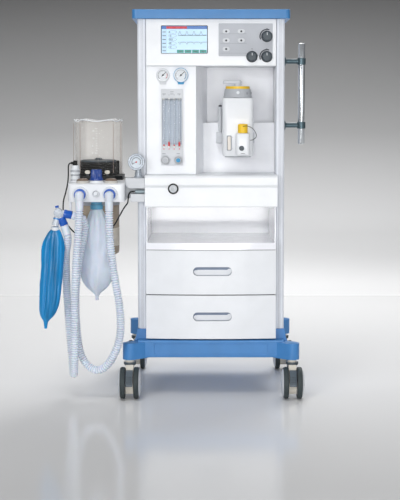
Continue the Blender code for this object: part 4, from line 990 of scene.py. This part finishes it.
def vaporizer():
    carry("bay_panel", BAY, 0.001)
    wall = (Vector((0.2343, -0.144, 0.797)) + TROLLEY, Vector((0.2358, 0.0, 1.1835)) + TROLLEY)
    piece("bay_side_wall", boxes([wall]), BAY)
    carry("vaporizer_manifold", LIGHT_GREY, 0.0006)
    low, high = corners("vaporizer_manifold")
    tips = []
    for dx in (0.0145, 0.12):
        spot = (low.x + dx, (low.y + high.y) / 2, 0)
        tips.append(turned([(0.0056, -0.006), (0.006, -0.005), (0.006, -0.001), (0.0045, 0.0005)],
                spot, "Z", 32, at=high.z))
    piece("manifold_tips", joined(*tips), INK)
    x, y = TROLLEY.x + 0.0963, TROLLEY.y - 0.177
    low, high = corners("vaporizer_body")
    front = TROLLEY.y - 0.245
    back = high.y
    bottom, top = low.z, high.z
    levels = ((0.006, bottom), (0.0015, bottom + 0.002), (0.0, bottom + 0.006), (0.0, top - 0.006),
            (0.0015, top - 0.0018), (0.005, top - 0.0004))
    shell = soft_block((x - 0.055, front), (x + 0.055, back - 0.0002), 0.018, levels)
    fx, fy = TROLLEY.x + 0.112, TROLLEY.y - 0.266
    levels = ((0.005, 0.868), (0.001, 0.8695), (0.0, 0.8725), (0.0, 0.941), (0.001, 0.9445), (0.005, 0.9461))
    filler = soft_block((fx - 0.025, low.y), (fx + 0.025, front + 0.01), 0.012, levels, 8)
    piece("vaporizer_shell", joined(shell, filler), WHITE, "vaporizer", "vaporizer_body")
    gx = TROLLEY.x + 0.0645
    frame_low, frame_high = (gx - 0.0085, 0.883), (gx + 0.0085, 0.937)
    rim = [rounded(frame_low, frame_high, 0.004), rounded((gx - 0.0055, 0.886), (gx + 0.0055, 0.934), 0.003)]
    rings = ((rim[0], front + 0.002), (rim[0], front - 0.0016), (rim[1], front - 0.0016), (rim[1],
            front + 0.002))
    piece("sight_glass_frame", facing(rings), MID_GREY, "vaporizer", bevel=0.0004)
    piece("sight_glass_liquid", prism(rim[1], front - 0.0005, front + 0.001, "Y"),
            surface("sight_beige", (0.56, 0.5, 0.43), 0.2), "vaporizer")
    marks = [((gx + 0.01, front - 0.0004, z), (gx + 0.014, front + 0.0002, z + 0.0008)) for z in (0.89, 0.93)]
    marks.append(((fx - 0.007, low.y - 0.0003, 0.8735), (fx + 0.007, low.y + 0.0004, 0.875)))
    piece("vaporizer_marks", boxes(marks), INK, "vaporizer")
    plug = turned([(0.009, 0.002), (0.009, -0.0012), (0.0078, -0.002), (0.005, -0.002), (0.0046, -0.0004)],
            (fx - 0.0044, 0, 0.893), "Y", 40, at=low.y)
    piece("filler_port_plug", plug, SLATE, "vaporizer")
    stand = [((x - 0.046, front + 0.02, 0.859), (x + 0.046, back - 0.02, 0.8625))]
    piece("vaporizer_foot", boxes(stand), MID_GREY, "vaporizer", bevel=0.001)
    dial_parts(x, y)
    cap = turned([(0.015, 0.9465), (0.0172, 0.9472), (0.0175, 0.949), (0.0175, 0.9755), (0.0165, 0.9778),
            (0.014, 0.9785)], (fx, fy, 0), "Z", 96, False, 24, 0.0008, (2, 3))
    piece("filler_cap_top", cap, YELLOW, "filler_cap", "filler_cap", angle=30)
    # Painted shade of a dimple in the cap's top: a thin darker yellow ring.
    piece("filler_cap_dimple", ring_at((fx, fy, 0), 0.01, 0.0015, 0.978, 0.979),
            surface("yellow_dimple_painted_shade", (0.62, 0.38, 0.01), 0.45), "filler_cap")


def dial_parts(x, y):
    """The vaporizer's concentration dial with its scale, band and lever."""
    skirt = [(0.015, 1.07), (0.015, 1.0715), (0.0505, 1.0715), (0.0515, 1.0725), (0.0515, 1.075),
            (0.05, 1.08), (0.047, 1.1), (0.0455, 1.1032), (0.015, 1.1032)]
    mesh = turned(skirt, (x, y, 0), "Z", 144, True, 36, 0.0008, (5, 6))
    piece("dial_skirt", mesh, GREY, "vaporizer_dial", "vaporizer_dial", angle=30)
    band = turned([(0.015, 1.1025), (0.0434, 1.1025), (0.0436, 1.1032), (0.0436, 1.1115), (0.043, 1.1123),
            (0.015, 1.1125)], (x, y, 0), "Z", 96, True)
    piece("dial_band", band, YELLOW, "vaporizer_dial")
    plate = turned([(0.015, 1.111), (0.041, 1.111), (0.0405, 1.113), (0.015, 1.113)], (x, y, 0),
            "Z", 96, True)
    piece("dial_plate", plate, LIGHT_GREY, "vaporizer_dial")
    figures = []
    for k in range(6):
        a = math.radians(-90 + 40 * k)
        mesh = boxes(number_blocks(k, -0.0018, 1.0835, 0.0075, -0.05, -0.0482))
        mesh.transform(Matrix.Translation((x, y, 0)) @ Matrix.Rotation(a + math.pi / 2, 4, "Z"))
        figures.append(mesh)
    piece("dial_figures", joined(*figures[1:]), INK, "vaporizer_dial")
    button = turned([(0.0058, -0.047), (0.0058, -0.0505), (0.005, -0.0512), (0.002, -0.0514)],
            (x, 0, 1.0895), "Y", 40, at=y)
    piece("dial_button", button, DIAL, "vaporizer_dial")
    low, high = corners("vaporizer_lever")
    levels = ((0.002, high.z - 0.015), (0.0, high.z - 0.0125), (0.0, high.z - 0.006),
            (0.002, high.z - 0.002), (0.0055, high.z - 0.0003))
    pad = soft_block((low.x, y - 0.012), (high.x, y + 0.012), 0.0115, levels, 10, 1.0, 1.0)
    shaft = turned([(0.01, 1.1133), (0.014, 1.1136), (0.014, high.z - 0.014)], (x, y, 0), "Z", 64)
    piece("lever_pad", joined(pad, shaft), LIGHT_GREY, "vaporizer_lever", "vaporizer_lever")


# ---------------------------------------------------------------- absorber head

def absorber():
    carry("absorber_arm", LIGHT_GREY, 0.002)
    carry("cable_socket", SOCKET, 0.0004)
    carry("bellows_base", BLACK, 0.0015)
    carry("absorber_block", WHITE, 0.0022)
    low, high = corners("absorber_block")
    left, right = low.x, high.x
    front, back = TROLLEY.y - 0.29, high.y
    top = 0.775
    shape = rounded((left + 0.004, TROLLEY.y - 0.2075), (right - 0.004, back - 0.004), 0.011)
    piece("block_top_plate", prism(shape, top - 0.0005, top + 0.00025), BEIGE)
    for k, port_x in enumerate((-0.463, -0.3584)):
        x = TROLLEY.x + port_x
        hose_y, z = TROLLEY.y - 0.3365, 0.73
        sleeve = [(0.014, 0.7118)]
        for n in range(4):
            foot = 0.7122 + 0.0056 * n
            sleeve += [(0.0152, foot), (0.0159, foot + 0.0012), (0.0159, foot + 0.003),
                    (0.0152, foot + 0.0044)]
        sleeve += [(0.0153, 0.7345), (0.0137, 0.738), (0.009, 0.742), (0.004, 0.7435)]
        piece(f"hose_end_{k + 1}", turned(sleeve, (x, hose_y, 0), "Z", 72), HOSE, angle=50)
        arch = turned([(0.015, -0.03), (0.019, -0.03), (0.0205, -0.0285), (0.0208, -0.024), (0.0208, -0.015),
                (0.0198, -0.0115), (0.015, -0.0115)], (x, 0, z), "Y", 72, True, at=front)
        pipe = turned([(0.0141, front - 0.012), (0.0151, front - 0.012), (0.0151, hose_y + 0.011),
                (0.0141, hose_y + 0.011)], (x, 0, z), "Y", 64, True)
        piece(f"hose_connector_{k + 1}", joined(arch, pipe), HOSE_BLUE, angle=50)
        ring = turned([(0.0268, 0.001), (0.027, -0.0105), (0.0258, -0.0125), (0.0205, -0.0128),
                (0.0195, -0.011), (0.0175, -0.011), (0.0175, 0.001)], (x, 0, z), "Y", 72, True, at=front)
        piece(f"port_ring_{k + 1}", ring, DIAL)
    boss_x = TROLLEY.x - 0.408
    boss = turned([(0.0122, 0.001), (0.0122, -0.0075), (0.011, -0.0085), (0.007, -0.0085), (0.0064, -0.006),
            (0.003, -0.006)], (boss_x, 0, 0.7323), "Y", 56, at=front)
    piece("front_boss", boss, LIGHT_GREY)
    spot = (boss_x, 0.0, 0.7323)
    marks = joined(arc_at(spot, 0.0106, 0.0016, front - 0.0092, front - 0.008, 60, 200),
            arc_at(spot, 0.0072, 0.0014, front - 0.0092, front - 0.0055, 250, 380))
    piece("front_boss_marks", marks, MID_GREY)
    apl()
    valves_and_sensor()
    bellows()
    airway_gauge()
    canister()


def apl():
    c = centre("apl_knob")
    z = 0.7768
    grip = turned([(0.0235, 0.0), (0.0245, 0.0008), (0.0243, 0.0045), (0.0228, 0.0062), (0.0212, 0.012),
            (0.0204, 0.0225), (0.0197, 0.037), (0.0185, 0.0392), (0.015, 0.0397)],
            c, "Z", 144, False, 18, 0.0022, (4, 6), at=z)
    piece("apl_grip", grip, ROYAL, "apl_knob", "apl_knob", angle=30)
    piece("apl_pointer", boxes([((c.x - 0.001, c.y - 0.0165, z + 0.039), (c.x + 0.001, c.y - 0.005, z +
            0.0402))]), DIAL, "apl_knob")
    collar = turned([(0.0268, 0.764), (0.0268, 0.769), (0.0262, 0.77), (0.0262, 0.7755), (0.0255, 0.7765),
            (0.01, 0.7765), (0.01, 0.764)], c, "Z", 72, True)
    piece("apl_collar", collar, DIAL)


def valves_and_sensor():
    for node in ("inspiratory_valve", "expiratory_valve"):
        low, high, c, r = round_box(node)
        dome = turned([(r - 0.0006, low.z), (r, low.z + 0.001), (r, low.z + 0.003),
                (r - 0.001, low.z + 0.0055), (r - 0.004, low.z + 0.0085), (r - 0.009, low.z + 0.0105),
                (r - 0.015, high.z), (0.002, high.z)], c, "Z", 72)
        piece(node + "_dome", dome, VALVE, replaces=node, angle=50)
        ring = turned([(r + 0.0018, -0.0075), (r + 0.002, -0.001), (r + 0.0012, 0.0018), (r, 0.0024),
                (r, -0.0075)], c, "Z", 96, True, 32, 0.0006, (0, 2), at=low.z)
        piece(node + "_ring", ring, BEIGE, angle=30)
    low, high = corners("o2_sensor")
    c = Vector((high.x - 0.0165, (low.y + high.y) / 2, 0.0))
    z = low.z
    stack = [(0.015, z), (0.016, z + 0.0012), (0.016, z + 0.0165), (0.0142, z + 0.0174),
            (0.0142, z + 0.0204), (0.0165, z + 0.0214), (0.0165, z + 0.0384), (0.0142, z + 0.0394),
            (0.0128, z + 0.052), (0.011, z + 0.0532)]
    piece("o2_sensor_cell", turned(stack, c, "Z", 96, False, 32, 0.0008, (5, 6)),
            DIAL, replaces="o2_sensor", angle=30)
    bands = [ring_at(c, 0.0168, 0.003, z + 0.0172, z + 0.0192), ring_at(c, 0.0168, 0.003, z + 0.0006, z +
            0.0022)]
    piece("o2_sensor_bands", joined(*bands), MID_GREY, bevel=0.0003)
    piece("o2_sensor_collar", ring_at(c, 0.017, 0.003, z + 0.029, z + 0.0375), GREY, bevel=0.0006)
    head = turned([(0.01, z + 0.053), (0.01, z + 0.056), (0.0078, z + 0.057), (0.0076, z + 0.068),
            (0.006, high.z)], c, "Z", 56)
    plug = turned([(0.0045, c.x - 0.004), (0.0045, low.x + 0.0008), (0.0036, low.x + 0.0002)],
            (0, c.y, 0.838), "X", 32)
    piece("o2_sensor_head", joined(head, plug), BLACK)


def octagon_ring(c, half, chamfer, z, lift=0.0, steps=8):
    """Points round a square with broad chamfered, softened corners; corners may stand up by the lift."""
    ring = []
    near = half - chamfer
    corners_xy = [(near, -half), (half, -near), (half, near), (near, half), (-near, half), (-half, near),
            (-half, -near), (-near, -half)]
    for n, (x0, y0) in enumerate(corners_xy):
        x1, y1 = corners_xy[(n + 1) % 8]
        for step in range(steps):
            t = step / steps
            x, y = x0 + (x1 - x0) * t, y0 + (y1 - y0) * t
            pull = 1.0 - 0.012 * math.cos(2 * math.pi * t)
            rise = abs(math.cos(math.pi * t)) ** 1.5 if n % 2 == 1 else 1 - math.sin(math.pi * t)
            ring.append((c.x + x * pull, c.y + y * pull, z + lift * rise))
    return ring


def bellows():
    low, high = corners("bellows_dome")
    c = (low + high) / 2
    half = (high.x - low.x) / 2 - 0.0012
    foot = low.z
    levels = [(half + 0.0006, foot, 0.0), (half + 0.0006, foot + 0.006, 0.0), (half - 0.002, foot + 0.009,
            0.0), (half - 0.002, 0.978, 0.0), (half - 0.003, 0.984, 0.003), (half - 0.006, 0.988, 0.007)]
    outer = [octagon_ring(c, h, DOME_CHAMFER, z, lift) for h, z, lift in levels]
    inner = [octagon_ring(c, h, DOME_CHAMFER, z, lift) for h, z, lift in ((half - 0.009, 0.9845, 0.005),
            (half - 0.005, 0.976, 0.0), (half - 0.005, foot, 0.0))]
    bm = bmesh.new()
    rows = [[bm.verts.new(p) for p in ring] for ring in outer + inner]
    count = len(rows[0])
    breaks = len(outer)
    pairs = [(k, k + 1) for k in range(len(rows) - 1) if k != breaks - 1] + [(len(rows) - 1, 0)]
    for a, b in pairs:
        for i in range(count):
            j = (i + 1) % count
            bm.faces.new((rows[a][i], rows[a][j], rows[b][j], rows[b][i]))
    for row, z in ((rows[breaks - 1], 0.987), (rows[breaks], 0.983)):
        middle = [bm.verts.new((c.x + (v.co.x - c.x) * 0.6, c.y + (v.co.y - c.y) * 0.6, z)) for v in row]
        peak = bm.verts.new((c.x, c.y, z - 0.0015))
        for i in range(count):
            j = (i + 1) % count
            bm.faces.new((row[i], row[j], middle[j], middle[i]))
            bm.faces.new((middle[i], middle[j], peak))
    shell = piece("dome_shell", finished(bm), DOME, replaces="bellows_dome", angle=40)
    shell.data.materials.append(DOME_BACK)
    for face in shell.data.polygons:
        if face.center.y > c.y + 0.2 * half:
            face.material_index = 1
    marks = []
    face = c.y - half - 0.0002
    for k in range(11):
        z = 0.872 + 0.0088 * k
        wide = 0.016 if k % 5 == 0 else 0.009
        marks.append(((c.x + 0.003 - wide * 0.6, face, z), (c.x + 0.003, face + 0.0012, z + 0.0012)))
    for k in range(4):
        marks += number_blocks(4 * k + 2, c.x - 0.016, 0.87 + 0.0264 * k, 0.0058, face, face + 0.0012)
    piece("dome_scale", boxes(marks), surface("scale_white", (0.62, 0.64, 0.66), 0.5))
    line = [((c.x + 0.0045, face, 0.83), (c.x + 0.0052, face + 0.001, 0.979))]
    piece("dome_seam", boxes(line), DOME_EDGE)
    base = centre("bellows_base")
    clips = [stadium(base.x + dx, 0.804, 0.0095, 0.0065, face - 0.007, face + 0.003) for dx in (-0.033,
            0.038)]
    piece("dome_clips", joined(*clips), CREAM, bevel=0.0012)
    stems = [((base.x + dx - 0.004, face - 0.004, 0.7902), (base.x + dx + 0.004, face + 0.0005, 0.8)) for dx
            in (-0.033, 0.038)]
    piece("dome_clip_stems", boxes(stems), INK)
    lugs = [turned([(0.01, 0.7902), (0.011, 0.791), (0.011, 0.838), (0.0095, 0.8395)],
            (base.x + dx, base.y + 0.048, 0), "Z", 40) for dx in (-0.062, 0.062)]
    piece("dome_lugs", joined(*lugs), BLACK)
    # Painted shade down the clear dome's front corners: thin dark lines.
    edges = []
    near = half - 0.002 - DOME_CHAMFER
    for u, v in ((near, -half + 0.002), (half - 0.002, -near), (-near, -half + 0.002),
            (-half + 0.002, -near)):
        edges.append(sweep([(c.x + u * 0.99, c.y + v * 0.99, z) for z in (foot + 0.01, 0.9, 0.979)],
                0.001, 10))
    piece("dome_edge_lines", joined(*edges), DOME_EDGE)
    # Painted highlight along the clear dome's top rim: an opaque white line.
    crest = octagon_ring(c, half - 0.0045, DOME_CHAMFER, 0.9862, 0.0062)
    piece("dome_crest", sweep(crest + crest[:1], 0.0019, 10), DIAL, angle=60)
    low, high = corners("bellows")
    pleats = []
    for i in range(5):
        z = low.z + 0.0092 * i
        pleats += [(0.0585, z), (0.06, z + 0.0008), (0.0655, z + 0.0038), (0.066, z + 0.0046),
                (0.0655, z + 0.0054), (0.06, z + 0.0084)]
    pleats.append((0.0585, high.z))
    folded = piece("bellows_pleats", turned(pleats, c, "Z", 96), BLACK, None, "bellows", angle=50)
    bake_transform(folded)
    low, high = corners("bellows_disc")
    plate = turned([(0.06, low.z), (0.0632, low.z + 0.0008), (0.064, low.z + 0.0022),
            (0.064, low.z + 0.0055), (0.063, low.z + 0.007), (0.056, low.z + 0.008), (0.054, low.z + 0.0074),
            (0.02, low.z + 0.0078), (0.013, low.z + 0.0086), (0.012, low.z + 0.014), (0.01, high.z)],
            c, "Z", 96)
    piece("bellows_plate", plate, SLATE, "bellows_disc", "bellows_disc", angle=40)


def airway_gauge():
    low, high = corners("airway_gauge")
    r = (high.x - low.x) / 2
    c = Vector(((low.x + high.x) / 2, 0.0, high.z - r))
    front, back = low.y, high.y
    case = turned([(0.02, back), (0.027, back - 0.001), (0.029, back - 0.004), (0.03, back - 0.009),
            (0.03, front + 0.003), (0.0294, front + 0.0008), (0.028, front), (0.0232, front + 0.0004),
            (0.022, front + 0.0012), (0.0216, front + 0.004), (0.002, front + 0.0042)], c, "Y", 96)
    stem = turned([(0.015, 0.0), (0.0155, 0.001), (0.0155, 0.005), (0.012, 0.0065), (0.012, 0.019),
            (0.01, 0.02), (0.01, 0.045)], (c.x + 0.006, TROLLEY.y - 0.242, 0), "Z", 48, at=low.z)
    piece("airway_gauge_case", joined(case, stem), CASE_GREY, replaces="airway_gauge", angle=40)
    face_y = front + 0.0036
    piece("airway_gauge_face", turned([(0.0216, face_y), (0.0216, face_y + 0.001)], c, "Y", 72), PALE_BLUE)
    arc = arc_at(c, 0.0168, 0.0018, face_y - 0.0003, face_y + 0.0002, 215, -35, 48)
    marks = ticks_at(c, 0.0145, 0.0026, 0.0006, face_y - 0.0003, face_y + 0.0002, 215, -35, 16)
    needle = ticks_at(c, 0.014, 0.018, 0.0011, face_y - 0.0012, face_y - 0.0006, 205, 204, 2)
    piece("airway_gauge_scale", joined(arc, marks, needle), INK)
    piece("airway_gauge_hub", turned([(0.003, 0.0), (0.0028, -0.0016), (0.0012, -0.002)],
            c, "Y", 40, at=face_y), RED)


def canister():
    low, high = corners("canister")
    c = (low + high) / 2
    wall = [(0.056, low.z), (0.065, low.z + 0.0012), (0.07, low.z + 0.005), (0.0718, low.z + 0.012),
            (0.072, low.z + 0.02), (0.072, high.z - 0.025)]
    piece("canister_cup", turned(wall + [(0.07, high.z - 0.024)], c, "Z", 96),
            SMOKE, "canister", "canister", angle=40)
    collar = [(0.069, high.z - 0.025), (0.0736, high.z - 0.024), (0.074, high.z - 0.0225),
            (0.074, high.z - 0.0015), (0.0735, high.z), (0.069, high.z)]
    piece("canister_collar", turned(collar, c, "Z", 144, True, 36, 0.001, (1, 4)), GREY, "canister", angle=30)
    rings = [ring_at(c, 0.0725, 0.002, z, z + 0.002) for z in (low.z + 0.03, low.z + 0.1)]
    piece("canister_ribs", joined(*rings), SMOKE, "canister", bevel=0.0004)
    fill = turned([(0.0718, 0.032), (0.07235, 0.033), (0.07235, 0.0985), (0.0718, 0.0995)],
            c, "Z", 96, at=low.z)
    piece("canister_filling", fill, GRANULES, "canister", angle=40)
    front = c.y - 0.0728
    piece("canister_mark", boxes([((c.x - 0.01, front, low.z + 0.012), (c.x + 0.008, front + 0.003, low.z +
            0.017))]), ORANGE, "canister")


# ---------------------------------------------------------------- bags

def bag_mesh(stations, sides, wrinkle, pleats, seed, tucks=()):
    """A slack rubber bag: smooth ovals, gathered pleats near the neck, soft dents and side seams."""
    keys = [Vector((x, y, z, w)) for x, y, z, w, _ in stations]
    deep = [d for *_, d in stations]
    rows = []
    total = stations[0][2] - stations[-1][2]
    for i in range(len(keys) - 1):
        before, after = max(i - 1, 0), min(i + 2, len(keys) - 1)
        for step in range(8):
            h = blend_weights(step / 8)
            spot = (keys[i] * h[0] + (keys[i + 1] - keys[before]) / 2 * h[1] + keys[i + 1] * h[2] +
                    (keys[after] - keys[i]) / 2 * h[3])
            d = (deep[i] * h[0] + (deep[i + 1] - deep[before]) / 2 * h[1] + deep[i + 1] * h[2] + (deep[after]
                    - deep[i]) / 2 * h[3])
            rows.append((spot.x, spot.y, spot.z, spot.w, d))
    rows.append(stations[-1])
    rings = []
    for x, y, z, wide, thick in rows:
        down = (stations[0][2] - z) / total
        ring = []
        for n in range(sides):
            a = 2 * math.pi * n / sides
            swell = min(1.0, max(0.0, (wide - 0.018) / 0.02))
            gather = math.exp(-((down - 0.18) / 0.16) ** 2) + 0.8 * math.exp(-((down - 0.84) / 0.1) ** 2)
            fold = 1.0 + 0.055 * swell * gather * math.cos(pleats * a + 0.7 * math.sin(3 * a))
            dent = noise.noise(Vector((3.1 * math.cos(a), 3.1 * math.sin(a), 16 * z + seed)))
            crease = noise.noise(Vector((7 * math.cos(a), 7 * math.sin(a), 34 * z + seed)))
            fold += swell * (wrinkle * dent + 0.4 * wrinkle * crease)
            for spot, depth in tucks:
                away = math.atan2(math.sin(a - spot), math.cos(a - spot))
                fold -= depth * swell * math.exp(-(away / 0.16) ** 2)
            seam = 0.0012 * swell * math.exp(-(math.sin(a) / 0.05) ** 2)
            ring.append((x + (wide * fold + seam) * math.cos(a) * 0.985, y + thick * fold * math.sin(a), z))
        rings.append(ring)
    return skin(rings)


def bags():
    low, high = corners("reservoir_bag")
    x, y = (low.x + high.x) / 2, (low.y + high.y) / 2
    sizes = [(0.6897, 0.019, 0.019), (0.674, 0.0205, 0.0205), (0.655, 0.029, 0.025), (0.62, 0.043, 0.032),
            (0.57, 0.055, 0.036), (0.505, 0.0605, 0.039), (0.455, 0.0605, 0.039), (0.42, 0.054, 0.036),
            (0.39, 0.036, 0.027), (0.372, 0.016, 0.014), (0.36, 0.007, 0.007), (0.344, 0.006, 0.006)]
    stations = [(x, y, z, w, d) for z, w, d in sizes]
    bag = piece("reservoir_bag_skin", bag_mesh(stations, 96, 0.055, 9, 3.0), BAG, replaces="reservoir_bag",
            angle=80)
    neck = turned([(0.019, 0.672), (0.0222, 0.673), (0.0226, 0.6745), (0.0226, 0.688), (0.0215, 0.6895),
            (0.019, 0.6895)], (x, y, 0), "Z", 72, True)
    piece("reservoir_neck_band", neck, TEAL)
    collar = turned([(0.0168, 0.69), (0.0195, 0.6905), (0.0195, 0.702), (0.0168, 0.7028)], (x, y, 0),
            "Z", 72, True)
    piece("reservoir_port_collar", collar, TEAL)
    leaning = [(-0.5525, 0.6155, 0.013, 0.0125), (-0.5525, 0.608, 0.0145, 0.0135),
            (-0.555, 0.59, 0.0255, 0.0175), (-0.56, 0.55, 0.037, 0.021), (-0.564, 0.48, 0.039, 0.022),
            (-0.57, 0.4, 0.038, 0.022), (-0.576, 0.34, 0.035, 0.0205), (-0.583, 0.3, 0.025, 0.0165),
            (-0.588, 0.276, 0.009, 0.009), (-0.589, 0.252, 0.0052, 0.0052)]
    stations = [(TROLLEY.x + x, TROLLEY.y - 0.295, z, w, d) for x, z, w, d in leaning]
    bag = piece("test_bag_skin", bag_mesh(stations, 128, 0.07, 8, 9.0, ((4.15, 0.36), (4.95, 0.16),
            (5.6, 0.12))), BAG_BLUE, replaces="test_bag", angle=80)
    spot = (TROLLEY.x - 0.5525, TROLLEY.y - 0.295, 0)
    neck = turned([(0.0125, 0.602), (0.015, 0.6025), (0.0152, 0.604), (0.0152, 0.613), (0.0146, 0.6145),
            (0.0125, 0.6145)], spot, "Z", 64, True)
    piece("test_bag_neck_band", neck, DIAL)


def details():
    """The flush button with its ring, seat and mark."""
    low, high = corners("flush_button")
    c = (low + high) / 2
    front = low.y
    button = turned([(0.0108, high.y), (0.0108, front + 0.0016), (0.01, front + 0.0004), (0.0085, front),
            (0.005, front + 0.0006), (0.001, front + 0.0009)], c, "Y", 72)
    piece("flush_button_cap", button, LIGHT_GREY, "flush_button", "flush_button")
    face = TROLLEY.y - 0.264
    ring = turned([(0.019, 0.004), (0.0192, -0.0006), (0.018, -0.0016), (0.0148, -0.0016), (0.0134, -0.0004),
            (0.0134, 0.004)], c, "Y", 80, True, at=face)
    piece("flush_button_ring", ring, BLACK)
    inner = turned([(0.0134, 0.004), (0.0134, -0.001), (0.012, -0.0014), (0.0112, -0.0006), (0.0112, 0.004)],
            c, "Y", 72, True, at=face)
    piece("flush_button_seat", inner, DIAL)
    mark = joined(arc_at(c, 0.0062, 0.0016, front - 0.0004, front + 0.0012, 120, 330),
            turned([(0.0022, 0.001), (0.0022, -0.0003), (0.0012, -0.0006)], c, "Y", 24, at=front))
    piece("flush_button_mark", mark, GREY, "flush_button")


def main():
    camera_and_lights()
    cords(y_piece())
    base()
    frame_parts()
    gas_inlets()
    monitor()
    gas_column()
    vaporizer()
    absorber()
    bags()
    details()
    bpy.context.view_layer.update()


main()
